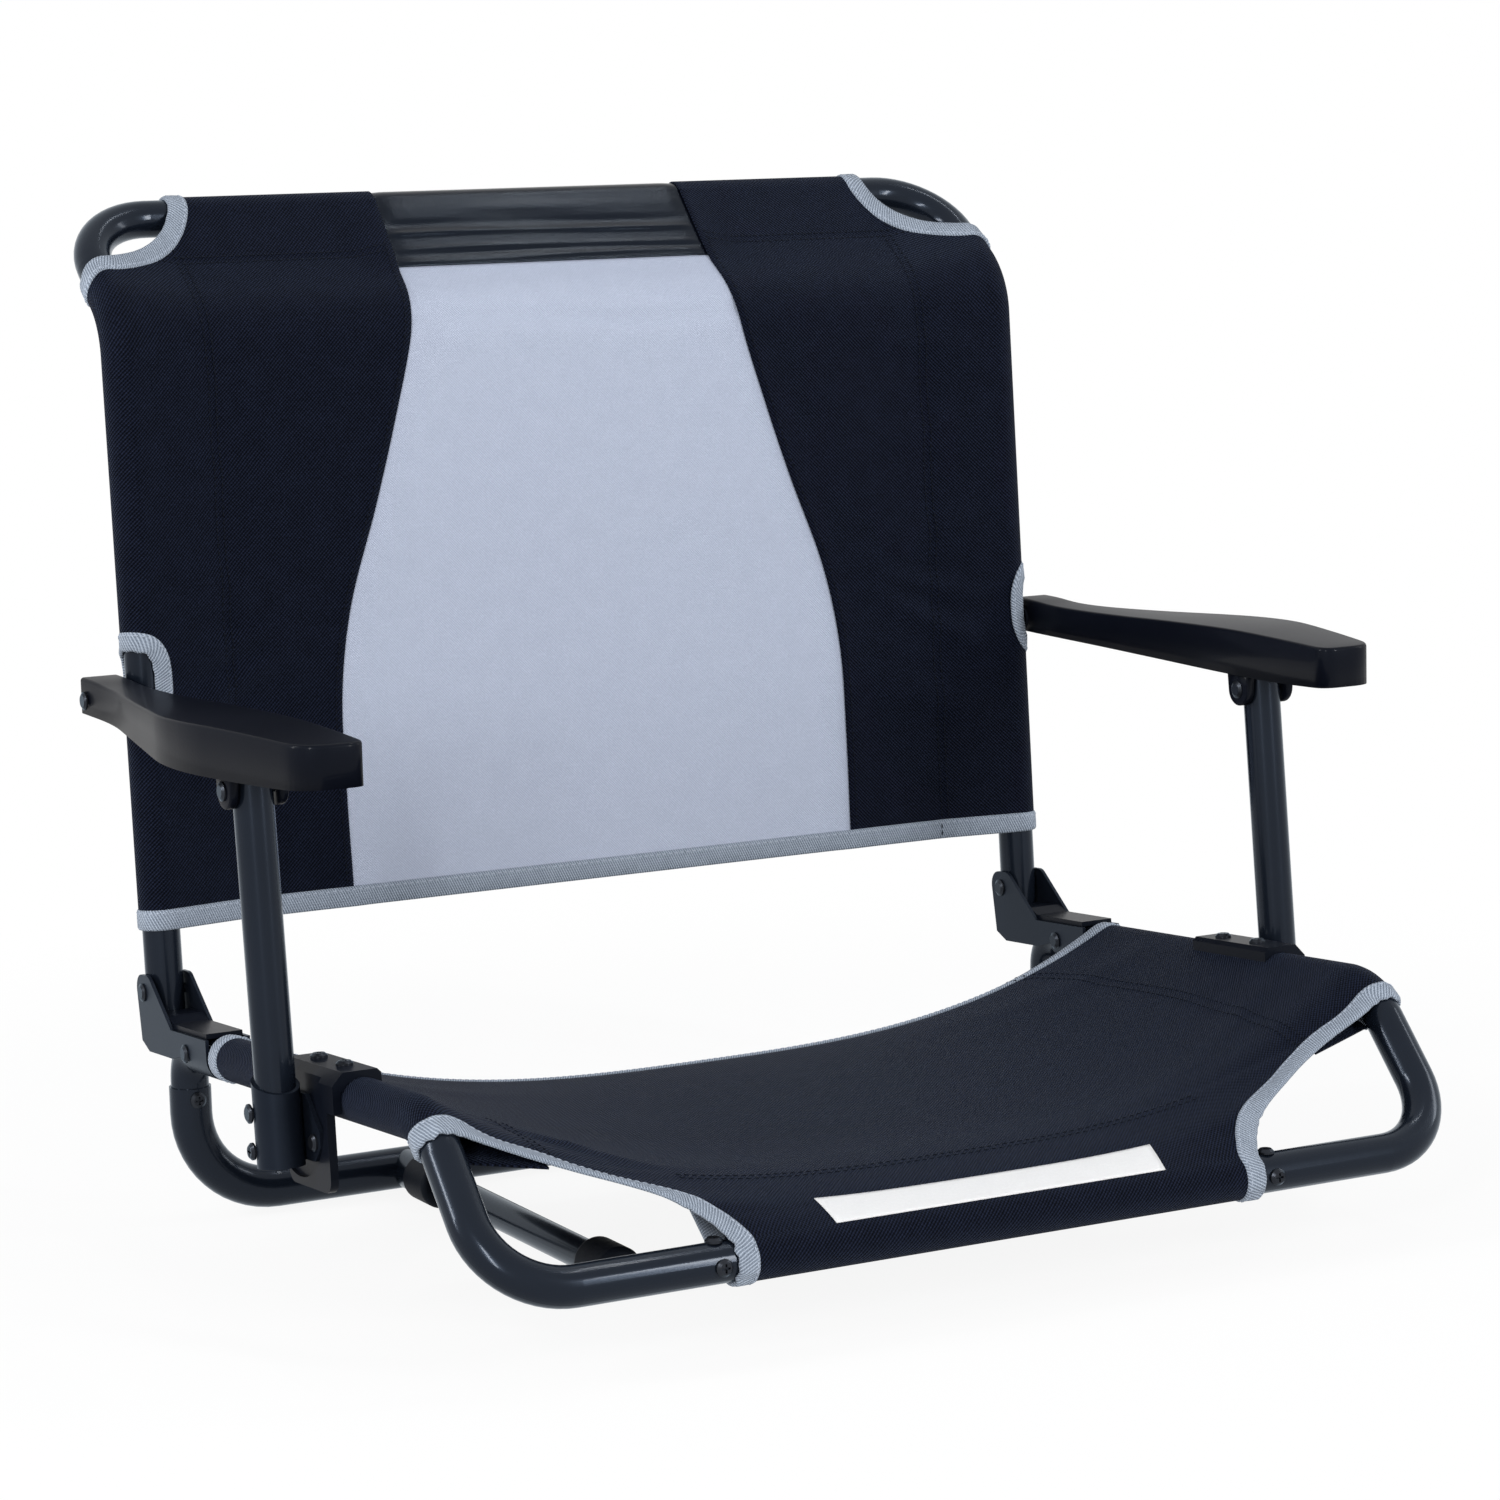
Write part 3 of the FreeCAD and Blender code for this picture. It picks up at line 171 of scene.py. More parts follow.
# %% Rib group
ribs, ends_in, ends_out = new_group(
    "tape_ribs", [("Tape", "Vector"), ("Pitch", "Float")], [("Height", "Float"), ("Tone_and_painted_shade", "Float")])
parts = add_node(ribs, "SeparateXYZ", {"Vector": ends_in.outputs["Tape"]})
turns = calc(ribs, "DIVIDE", 2 * math.pi, ends_in.outputs["Pitch"])
lean = calc(ribs, "MULTIPLY_ADD", parts.outputs["Y"], 0.45, parts.outputs["X"])
rib = calc(ribs, "SINE", calc(ribs, "MULTIPLY", lean, turns))
pick = calc(ribs, "SINE", calc(ribs, "MULTIPLY", parts.outputs["Y"], turns))
height = calc(ribs, "MULTIPLY_ADD", rib, 0.42, calc(ribs, "MULTIPLY_ADD", pick, 0.08, 0.5))
fuzz = add_node(ribs, "TexNoise", {"Vector": ends_in.outputs["Tape"], "Scale": 160.0, "Detail": 2.0})
ribs.links.new(height, ends_out.inputs["Height"])
# The shade output is painted shade in the grooves between the ribs and lighter colour on their crests, with a
# little uneven colour from the fuzz noise.
ribs.links.new(
    calc(ribs, "MULTIPLY_ADD", fuzz.outputs["Fac"], 0.25, calc(ribs, "MULTIPLY", height, 0.75)),
    ends_out.inputs["Tone_and_painted_shade"])
print("ribs made")

# %% Grain group
grain, ends_in, ends_out = new_group(
    "moulded_grain", [("Place", "Vector"), ("Size", "Float")], [("Fine", "Float"), ("Patches", "Float")])
fine = add_node(grain, "TexNoise", {
    "Vector": ends_in.outputs["Place"], "Scale": calc(grain, "DIVIDE", 1.0, ends_in.outputs["Size"]),
    "Detail": 2.0, "Roughness": 0.6})
broad = add_node(grain, "TexNoise", {"Vector": ends_in.outputs["Place"], "Scale": 14.0, "Detail": 4.0})
grain.links.new(fine.outputs["Fac"], ends_out.inputs["Fine"])
grain.links.new(broad.outputs["Fac"], ends_out.inputs["Patches"])
print("groups:", [group.name for group in bpy.data.node_groups])

# %% [markdown]
# ## Cloth finishes
# The seat and the sides of the back are black polyester with a dull sheen. The middle of the back is the same
# cloth in pale blue-grey. A flat black would swallow every fold, so the colour follows the weave: the gaps
# between the yarns carry painted shade and the yarn tops are painted lighter, mixed with uneven yarn colour,
# and the sheen lifts the edges where the cloth turns away.


# %% Cloth finishes
def cloth_finish(name, low, high, pitch, roughness, sheen, depth):
    material, tree, shader = new_finish(name)
    lie = add_node(tree, "UVMap", uv_map="flat")
    twill = use_group(tree, weave, {"Cloth": lie.outputs["UV"], "Pitch": pitch})
    # The base colour follows the weave's shade output: painted shade in the gaps between yarns, and uneven
    # yarn colour.
    fill_in(tree, shader, {
        "Base Color": two_tone(tree, twill.outputs["Tone_and_painted_shade"], low, high),
        "Roughness": spread(tree, twill.outputs["Tone_and_painted_shade"], roughness - 0.08, roughness + 0.08),
        "Sheen Weight": sheen, "Sheen Roughness": 0.4, "Sheen Tint": (0.5, 0.66, 1.0, 1),
        "Specular IOR Level": 0.03, "Normal": bump(tree, twill.outputs["Height"], depth)})
    return material


black_cloth = cloth_finish("black_cloth", (0.0001, 0.0003, 0.0013), (0.0135, 0.0180, 0.0380),
                           pitch=0.0020, roughness=0.65, sheen=0.05, depth=0.0007)
grey_cloth = cloth_finish("grey_cloth", (0.34, 0.375, 0.47), (0.49, 0.535, 0.645),
                          pitch=0.0014, roughness=0.8, sheen=0.06, depth=0.0002)
black_thread = cloth_finish("black_thread", (0.003, 0.004, 0.007), (0.012, 0.014, 0.021),
                            pitch=0.0006, roughness=0.6, sheen=0.05, depth=0.0001)
pale_thread = cloth_finish("pale_thread", (0.30, 0.34, 0.41), (0.50, 0.55, 0.63),
                           pitch=0.0006, roughness=0.6, sheen=0.1, depth=0.0001)
print("cloth finishes made")

# %% Tape and strip finishes
edge_tape, tree, shader = new_finish("edge_tape")
lie = add_node(tree, "UVMap", uv_map="flat")
ribbed = use_group(tree, ribs, {"Tape": lie.outputs["UV"], "Pitch": 0.0014})
# The tape's base colour is painted shade: dark in the grooves between the ribs and light on their crests,
# with some uneven colour from noise.
fill_in(tree, shader, {
    "Base Color": two_tone(tree, ribbed.outputs["Tone_and_painted_shade"], (0.085, 0.11, 0.15), (0.44, 0.50, 0.59)),
    "Roughness": spread(tree, ribbed.outputs["Tone_and_painted_shade"], 0.62, 0.8), "Sheen Weight": 0.08,
    "Specular IOR Level": 0.15, "Normal": bump(tree, ribbed.outputs["Height"], 0.0006)})
label_weave = cloth_finish("label_white", (0.74, 0.74, 0.74), (0.86, 0.86, 0.86),
                           pitch=0.0005, roughness=0.6, sheen=0.0, depth=0.0001)
print("tape and strip finishes made")

# %% Vinyl finish
wrap_vinyl, tree, shader = new_finish("wrap_vinyl")
spot = add_node(tree, "TexCoord").outputs["Object"]
skin = use_group(tree, grain, {"Place": spot, "Size": 0.0012})
fill_in(tree, shader, {
    "Base Color": two_tone(tree, skin.outputs["Patches"], (0.001, 0.0014, 0.003), (0.004, 0.005, 0.010)),
    "Roughness": spread(tree, skin.outputs["Patches"], 0.14, 0.24), "Specular IOR Level": 0.18,
    "Specular Tint": (0.6, 0.78, 1.0, 1), "Normal": bump(tree, skin.outputs["Fine"], 0.00012)})
print("vinyl finish made")

# %% [markdown]
# ## Hard finishes
# The tubes are coated in a dark blue-grey paint with a soft metallic glint under a thin clear coat. Brackets
# have the same paint, a little duller. Armrests and clamps are black nylon with a faint polish, and the feet
# are dull rubber. Each is one Principled shader whose colour and roughness drift with the grain group.


# %% Hard finishes
def hard_finish(name, low, high, size, rough, depth, gloss, metallic=0.0, coat=0.0):
    material, tree, shader = new_finish(name)
    spot = add_node(tree, "TexCoord").outputs["Object"]
    marks = use_group(tree, grain, {"Place": spot, "Size": size})
    mixed = calc(tree, "MULTIPLY_ADD", marks.outputs["Fine"], 0.35,
                 calc(tree, "MULTIPLY", marks.outputs["Patches"], 0.65))
    fill_in(tree, shader, {
        "Base Color": two_tone(tree, marks.outputs["Patches"], low, high),
        "Roughness": spread(tree, mixed, *rough), "Metallic": metallic, "Specular IOR Level": gloss,
        "Specular Tint": (0.74, 0.87, 1.0, 1), "Coat Weight": coat, "Coat Roughness": 0.1,
        "Normal": bump(tree, marks.outputs["Fine"], depth)})
    return material


HARD = {
    "frame_paint": dict(low=(0.006, 0.0085, 0.0145), high=(0.010, 0.0140, 0.0225), size=0.0022,
                        rough=(0.17, 0.26), depth=0.00001, metallic=0.4, gloss=0.14, coat=0.14),
    "bracket_paint": dict(low=(0.006, 0.0085, 0.0145), high=(0.012, 0.0155, 0.024), size=0.0018,
                          rough=(0.3, 0.44), depth=0.00002, metallic=0.4, gloss=0.13),
    "arm_plastic": dict(low=(0.0016, 0.0021, 0.0045), high=(0.004, 0.005, 0.009), size=0.0011,
                        rough=(0.36, 0.46), depth=0.00004, gloss=0.04, coat=0.07),
    "clamp_plastic": dict(low=(0.0022, 0.003, 0.0058), high=(0.005, 0.0065, 0.011), size=0.0018,
                          rough=(0.32, 0.42), depth=0.00003, gloss=0.05, coat=0.05),
    "plug_plastic": dict(low=(0.003, 0.0038, 0.0065), high=(0.007, 0.0085, 0.013), size=0.0012,
                         rough=(0.4, 0.6), depth=0.00008, gloss=0.12),
    "foot_rubber": dict(low=(0.003, 0.0038, 0.0065), high=(0.007, 0.0085, 0.0125), size=0.0016,
                        rough=(0.45, 0.7), depth=0.00012, gloss=0.1),
    "fastener_steel": dict(low=(0.012, 0.013, 0.017), high=(0.03, 0.033, 0.04), size=0.001,
                           rough=(0.2, 0.4), depth=0.00004, metallic=0.7, gloss=0.3),
}
finishes = {name: hard_finish(name, **numbers) for name, numbers in HARD.items()}
print("hard finishes:", sorted(finishes))

# %% Dress the frame nodes
KIND_OF = [
    ("frame_paint", ("seat_frame_tube", "back_frame_tube", "rear_hook_tube", "post_tube", "hook_arm",
                     "arm_stub")),
    ("bracket_paint", ("hinge_bracket", "post_socket")),
    ("clamp_plastic", ("arm_clamp", "hinge_insert")),
    ("plug_plastic", ("post_plug", "back_tube_plugs", "arm_pivot_washers")),
    ("foot_rubber", ("hook_ferrule", "hook_end_cap")),
    ("fastener_steel", ("screw", "rivet", "bolts", "lug_pin")),
    ("arm_plastic", ("armrest",)),
]
for name, node in nodes.items():
    node.data.materials.clear()
    node.data.materials.append(next(
        (finishes[kind] for kind, words in KIND_OF if any(word in name for word in words)), black_cloth))
print("nodes dressed:", len(nodes))

# %% [markdown]
# ## Cloth on tubes: places
# All cloth on this chair is sewn into loops that slide onto tubes. It is easiest to describe in the flat:
# x across the chair, d along the cloth, h off its face. One function then lays such a point onto the seat's
# rails, and another onto the back, which runs straight up, curls back and slopes to the top bar.

# %% Places on the rails and on the back
RECLINE = math.radians(3.5)
FOOT_Y, FOOT_Z = 152.39, 88.25
HINGE_Y, HINGE_Z = 153.9, 113.0
SIDE_X = 253.0
LOOP_R = 10.25
CURL_START = 319.9
CURL_R = 38.0
CURL_TURN = 0.8447
SLOPE_START = CURL_START + CURL_R * CURL_TURN
TOP_BAR = 413.7


def on_rails(x, d, h):
    """d is forward along the rails from the hinge's foot, h is square above them."""
    x, d, h = np.broadcast_arrays(x, d, h)
    y = FOOT_Y - d * math.cos(RECLINE) + h * math.sin(RECLINE)
    z = FOOT_Z + d * math.sin(RECLINE) + h * math.cos(RECLINE)
    return np.stack([x, y, z], -1) * MM


def on_back(x, d, h):
    """d is up the back from the hinge, round the curl and up the slope, h is towards the sitter."""
    x, d, h = np.broadcast_arrays(x, d, h)
    turn = np.clip((d - CURL_START) / CURL_R, 0, CURL_TURN)
    beyond = np.maximum(d - SLOPE_START, 0)
    rear = CURL_R * (1 - np.cos(turn)) + beyond * np.sin(turn) - h * np.cos(turn)
    up = np.minimum(d, CURL_START) + CURL_R * np.sin(turn) + beyond * np.cos(turn) + h * np.sin(turn)
    y = HINGE_Y + rear * math.cos(RECLINE) + up * math.sin(RECLINE)
    z = HINGE_Z - rear * math.sin(RECLINE) + up * math.cos(RECLINE)
    return np.stack([x, y, z], -1) * MM


print("top bar at", on_back(0, TOP_BAR, 0).round(4))


# %% Lines and their lengths
def ease(value):
    value = np.clip(value, 0, 1)
    return value * value * (3 - 2 * value)


def smooth_line(points, count):
    """An even run of points on a smooth curve through the given ones."""
    points = np.asarray(points, float)
    padded = np.vstack([2 * points[0] - points[1], points, 2 * points[-1] - points[-2]])
    fine = []
    for before, start, end, after in zip(padded, padded[1:], padded[2:], padded[3:]):
        t = np.linspace(0, 1, 24, endpoint=False)[:, None]
        fine.append(0.5 * (2 * start + (end - before) * t
                           + (2 * before - 5 * start + 4 * end - after) * t ** 2
                           + (3 * start - before - 3 * end + after) * t ** 3))
    return even_run(np.vstack(fine + [points[-1:]]), count)


def lengths_along(line):
    return np.concatenate([[0], np.cumsum(np.linalg.norm(np.diff(line, axis=0), axis=1))])


def at_stops(stops, run, line):
    """What a line holds at other stops along it, where run is the stop of each of its points."""
    return np.stack([np.interp(stops, run, column) for column in line.T], -1)


def even_run(line, count):
    run = lengths_along(line)
    return at_stops(np.linspace(0, run[-1], count), run, line)


print("a straight run of 10 has length", lengths_along(even_run(np.array([(0.0, 0), (10, 0)]), 5))[-1])


# %% Loops round tubes
def touch_point(centre, seam, radius):
    """Where a straight run from a seam on the middle plane meets a tube: its angle and its place."""
    angle = math.pi - math.acos(radius / (centre - seam))
    return angle, centre + radius * math.cos(angle), radius * math.sin(angle)


def loop_and_flap(centre, radius, angles, seam, steps):
    """The places of a cloth that goes round a tube and then straight to a seam."""
    loop = np.array(centre) + radius * np.stack([np.cos(angles), np.sin(angles)], -1)
    share = np.linspace(0, 1, steps + 1)[1:, None]
    return np.vstack([loop, loop[-1] + (np.array(seam) - loop[-1]) * share]).T


print("a loop on the upright starts at", [round(v, 2) for v in touch_point(SIDE_X, SIDE_X - 46, LOOP_R)])

# %% [markdown]
# ## Cloth: from rows of points to a sheet
# A sheet is a grid whose points are laid on the body by the functions above. The grid operator makes the
# faces, each point is moved to its place, and the UV map keeps the flat measure of the cloth in metres so
# the weave isn't stretched. Separate grids of one cloth are welded, and Solidify gives the thickness.


# %% Grid helpers
WELD = 0.00003
CLOTH = 0.0011


def add_grid(bm, points, flat):
    """One grid of a mesh: points and flat places are arrays of rows and columns."""
    rows, columns = points.shape[0] - 1, points.shape[1] - 1
    made = bmesh.ops.create_grid(bm, x_segments=columns, y_segments=rows, size=0.5)["verts"]
    layer = bm.loops.layers.uv.get("flat") or bm.loops.layers.uv.new("flat")
    spot = {}
    for vert in made:
        spot[vert] = (round((vert.co.y + 0.5) * rows), round((vert.co.x + 0.5) * columns))
    for vert, index in spot.items():
        vert.co = points[index]
    for face in {face for vert in made for face in vert.link_faces}:
        for loop in face.loops:
            loop[layer].uv = flat[spot[loop.vert]]


def flat_map(across, along):
    """The flat places of a grid in metres, from its runs in millimetres."""
    return np.stack(np.broadcast_arrays(across, along), -1) * MM


def fresh_normals(bm):
    bmesh.ops.recalc_face_normals(bm, faces=bm.faces)
    bm.normal_update()


def face_way(bm, way):
    """Turn the faces so that most of them look along a direction."""
    fresh_normals(bm)
    if sum(face.normal.dot(Vector(way)) * face.calc_area() for face in bm.faces) < 0:
        bmesh.ops.reverse_faces(bm, faces=bm.faces)


print("grid helpers ready")


# %% Piece helpers
def mesh_of(bm, name):
    mesh = bpy.data.meshes.new(name)
    bm.to_mesh(mesh)
    bm.free()
    return mesh


def as_piece(bm, name, finish, body):
    mesh = mesh_of(bm, name)
    for polygon in mesh.polygons:
        polygon.use_smooth = True
    mesh.materials.append(finish)
    piece = bpy.data.objects.new(name, mesh)
    scene.collection.objects.link(piece)
    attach(piece, body)
    return piece


def sheet_piece(name, grids, finish, body, way, thickness=CLOTH, shape=None):
    """One cloth from its grids. shape may change the welded mesh before it gets its thickness."""
    bm = bmesh.new()
    for points, flat in grids:
        add_grid(bm, points, flat)
    bmesh.ops.remove_doubles(bm, verts=bm.verts, dist=WELD)
    if shape:
        shape(bm)
    face_way(bm, way)
    area = sum(face.calc_area() for face in bm.faces)
    piece = as_piece(bm, name, finish, body)
    solid = piece.modifiers.new("thickness", "SOLIDIFY")
    solid.thickness = thickness
    solid.offset = 0
    solid.use_even_offset = True
    print(f"{name}: {len(piece.data.polygons)} faces, {area:.4f} square metres")
    return piece


def mirrored(half, sign):
    """Rows that run from the middle outwards, continued to the other side with this sign."""
    return np.concatenate([sign * half[:, :0:-1], half], 1)


print("piece helpers ready, cloth is", CLOTH / MM, "mm thick")

# %% [markdown]
# ## The seat
# The seat is one black cloth. Each side loops round a rail and is sewn to itself a hand's breadth inside,
# and the front loops round the front bar in the same way. Between the rails it hangs in a shallow trough,
# flat in the middle because the front bar is flat, and its free rear edge droops a little. At the front
# corners it is cut away in two hollow curves. Its cross-section is drawn once, for any sag, and repeated.

# %% Seat sag
TOP_STEPS, LOOP_STEPS, FLAP_STEPS = 40, 16, 7
SEAT_SEAM = 206.0
REAR_EDGE, RAIL_END = 85.6, 309.7
SAG_REAR, SAG_MORE, TROUGH = 32.0, 14.3, 2.9
REAR_DROOP, DROOP_RUN = 5.0, 20.0


def seat_sag(d):
    return SAG_REAR + SAG_MORE * ease((d - REAR_EDGE) / (RAIL_END - REAR_EDGE))


def seat_contact(sag):
    """Where the hanging cloth meets the loop: x and h there."""
    lean = 0.4
    for _ in range(8):
        x, h = SIDE_X - LOOP_R * math.sin(lean), LOOP_R * math.cos(lean)
        lean = math.atan(TROUGH * (h + sag) / x)
    return x, h, lean


def hung_height(x, sag):
    reach, level, _ = seat_contact(sag)
    return -sag + (level + sag) * (np.abs(x) / reach) ** TROUGH


def rear_droop(x, d):
    return -REAR_DROOP * np.clip(1 - (d - REAR_EDGE) / DROOP_RUN, 0, 1) ** 2 * (1 - (np.abs(x) / SIDE_X) ** 4)


print("sag at the front", round(float(seat_sag(RAIL_END)), 1), "mm")


# %% Seat cross-section
def tangent_below(px, ph):
    """Angle at which a line from a point inside leaves the underside of the loop."""
    away = math.hypot(px - SIDE_X, ph)
    return math.atan2(ph, px - SIDE_X) + math.acos(LOOP_R / away) - (2 * math.pi if ph >= 0 else 0)


def seat_section(sag):
    x, h, lean = seat_contact(sag)
    hang_x = np.linspace(0, x, TOP_STEPS + 1)
    hang_h = hung_height(hang_x, sag)
    seam_h = float(hung_height(SEAT_SEAM, sag)) - 1.4
    leave = tangent_below(SEAT_SEAM, seam_h)
    leave = leave if leave < 0 else leave - 2 * math.pi
    angles = np.linspace(math.pi / 2 + lean, leave, LOOP_STEPS + 1)[1:]
    loop_x, loop_h = loop_and_flap((SIDE_X, 0), LOOP_R, angles, (SEAT_SEAM, seam_h), FLAP_STEPS)
    return np.concatenate([hang_x, loop_x]), np.concatenate([hang_h, loop_h])


def seat_folds(x, d):
    """Shallow folds that run from the clamps towards the middle of the seat."""
    total = np.zeros(np.broadcast(x, d).shape)
    for side, foot_d, slope, height, width in (
            (-1, 262, 0.62, 2.2, 9), (-1, 285, 0.34, 1.6, 7), (1, 258, 0.5, 1.3, 10), (1, 150, -0.2, 0.9, 12),
            (-1, 160, -0.15, 0.9, 12)):
        inside = SIDE_X - side * x
        off = (d - foot_d - slope * inside) / width
        total = total + height * np.exp(-off ** 2) * ease(inside / 30) * ease((170 - inside) / 110)
    return total * ease((345 - d) / 40)


seat_x, seat_h = seat_section(seat_sag(RAIL_END))
half_section = lengths_along(np.stack([seat_x, seat_h], -1))[-1]
print("seat section is", round(float(half_section), 1), "mm from the middle")

# %% Seat between the rails
rail_rows = np.concatenate([np.linspace(REAR_EDGE, 106, 10), np.linspace(106, RAIL_END, 46)[1:]])
half_x, half_h = (np.array(side) for side in zip(*[seat_section(seat_sag(d)) for d in rail_rows]))
run = np.array([lengths_along(np.stack(pair, -1)) for pair in zip(half_x, half_h)])
rail_x, rail_h, rail_run = mirrored(half_x, -1), mirrored(half_h, 1), mirrored(run, -1)
rail_d = np.repeat(rail_rows[:, None], rail_x.shape[1], 1)
outer = LOOP_STEPS + FLAP_STEPS
hang = slice(outer, rail_x.shape[1] - outer)
rail_h[:, hang] += seat_folds(rail_x[:, hang], rail_d[:, hang]) + rear_droop(rail_x[:, hang], rail_d[:, hang])
rail_points = on_rails(rail_x, rail_d, rail_h)
rail_flat = flat_map(rail_run, rail_d)
print("rail rows", rail_points.shape)

# %% [markdown]
# ### The seat's front
# Ahead of the rails' bend the cloth narrows to the front bar. Its edge is one smooth curve: round the tube,
# in and forward, then over the bar. Rows are stretched between the two edges, so the cloth follows the cut
# without a single slanted hole to patch, and the last rows go round the bar and back under to a seam.

# %% Seat front and bar loop
BAR_D, BAR_H, BAR_HALF = 385.4, -69.4, 139.2
BAR_TOUCH, BAR_LEAVE = math.radians(67), math.radians(-120)
FRONT_SEAM = 339.0
RING_TURN = math.radians(43)
RING_ROWS, EDGE_ROWS = 9, 32
front_sag = seat_sag(RAIL_END)
touch_x, touch_h, _ = seat_contact(front_sag)
bar_top_d = BAR_D + LOOP_R * math.cos(BAR_TOUCH)
bar_top_h = BAR_H + LOOP_R * math.sin(BAR_TOUCH)


def front_height(x, d):
    fall = np.clip((d - RAIL_END) / (bar_top_d - RAIL_END), 0, 1) ** 2.1
    return hung_height(x, front_sag) * (1 - fall) + bar_top_h * fall


bend = np.linspace(0, RING_TURN, RING_ROWS + 1)
bend_d = RAIL_END + CURL_R * np.sin(bend)
bend_h = -CURL_R * (1 - np.cos(bend))
tube_edge = np.stack([np.full_like(bend, touch_x), bend_d + touch_h * np.sin(bend),
                      bend_h + touch_h * np.cos(bend)], -1)
free_edge = smooth_line([tube_edge[-1], (235, 344.0, -9.8), (215, 345.4, -18.6), (195, 351.6, -26.6),
                         (177, 361.2, -33.2), (162, 368.6, -39.6), (152, 374.0, -46.0), (145, 381.0, -51.8),
                         (BAR_HALF, bar_top_d, bar_top_h)], EDGE_ROWS + 1)
front_edge = np.vstack([tube_edge, free_edge[1:]])
share = np.linspace(-1, 1, 2 * TOP_STEPS + 1)
front_count = len(front_edge)
middle_d = np.linspace(RAIL_END, bar_top_d, front_count)[:, None]
edge_x, edge_d, edge_h = (front_edge[:, [axis]] for axis in range(3))
front_x = share * edge_x
front_d = middle_d + (edge_d - middle_d) * np.abs(share) ** 2.5
front_h = front_height(front_x, front_d) + (edge_h - front_height(edge_x, edge_d)) * share ** 4
front_h += seat_folds(front_x, front_d) * (1 - share ** 4)
front_points = on_rails(front_x, front_d, front_h)
front_points[0] = rail_points[-1, hang]
front_flat = flat_map(front_x * run[-1, TOP_STEPS] / touch_x, front_d)
print("front rows", front_points.shape)


# %% Loop ends on the rails
FLAP_END_D, FLAP_END_H = 346.5, -24.6


def bent_end(columns):
    """The outer columns of the section, carried round the start of the rail's bend."""
    x, h = half_x[-1, columns], half_h[-1, columns]
    d = bend_d[:, None] + h * np.sin(bend)[:, None]
    level = bend_h[:, None] + h * np.cos(bend)[:, None]
    flap = np.concatenate([np.zeros(LOOP_STEPS + 1), np.linspace(0, 1, FLAP_STEPS + 1)[1:]])
    pull = flap * ((bend / RING_TURN) ** 1.5)[:, None]
    pull_d, pull_h = pull * (FLAP_END_D - d[-1, -1]), pull * (FLAP_END_H - level[-1, -1])
    return np.repeat(x[None], len(bend), 0), d + pull_d, level + pull_h


end_x, end_d, end_h = bent_end(slice(TOP_STEPS, None))
end_flat = flat_map(run[-1:, TOP_STEPS:], end_d)
end_right = on_rails(end_x, end_d, end_h)
end_left = on_rails(-end_x, end_d, end_h)
print("loop ends", end_right.shape)

# %% Bar loop
bar_angles = np.linspace(BAR_TOUCH, BAR_LEAVE, 20)
bar_x = share * BAR_HALF
under = np.linspace(0, 1, 9)[1:]
under_d = BAR_D + LOOP_R * math.cos(BAR_LEAVE) + (FRONT_SEAM - BAR_D - LOOP_R * math.cos(BAR_LEAVE)) * under
lip_h = BAR_H + LOOP_R * math.sin(BAR_LEAVE)
under_h = lip_h + (front_height(bar_x[None], FRONT_SEAM) - 1.6 - lip_h) * under[:, None]
bar_d = np.concatenate([BAR_D + LOOP_R * np.cos(bar_angles), under_d])[:, None]
bar_h = np.vstack([np.repeat((BAR_H + LOOP_R * np.sin(bar_angles))[:, None], len(bar_x), 1), under_h])
bar_points = on_rails(bar_x[None], bar_d, bar_h)
bar_run = bar_top_d + lengths_along(bar_points[:, TOP_STEPS]) / MM
bar_flat = flat_map(bar_x[None], bar_run[:, None])
seat_cloth = sheet_piece("seat_cloth", [
    (rail_points, rail_flat), (front_points, front_flat), (bar_points, bar_flat),
    (end_right, end_flat), (end_left, end_flat * (-1, 1))], black_cloth, "seat", (0, 0, 1))
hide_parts("seat_sling", "left_rail_sleeve", "right_rail_sleeve", "front_bar_sleeve")

# %% [markdown]
# ## Edge tape
# Every cut edge of the cloth is bound with pale ribbed tape, folded over it and stitched down. On the
# mesh it is a flat closed band that follows the edge. A line of points just inside the edge shows which way
# is inwards, the run of the edge gives the tangent, and their cross product is where the band stands proud.

# %% Tape section
BAND = np.array([(-0.9, 0.3), (-0.6, 1.15), (0.5, 1.7), (4.5, 1.75), (8.5, 1.6), (9.4, 1.25), (9.7, 0.5),
                 (9.4, -0.45), (8.6, -0.7), (4.5, -0.75), (0.5, -0.7), (-0.6, -0.4)])
tape_threads = {"seat": [], "backrest": []}


def blur(values, times, closed):
    for _ in range(times):
        before, after = np.roll(values, 1, 0), np.roll(values, -1, 0)
        if not closed:
            before[0], after[-1] = values[0], values[-1]
        values = (before + 2 * values + after) / 4
    return values


def unit(vectors):
    return vectors / np.linalg.norm(vectors, axis=-1, keepdims=True)


print("tape is", round(float(np.ptp(BAND[:, 0])), 1), "mm wide")


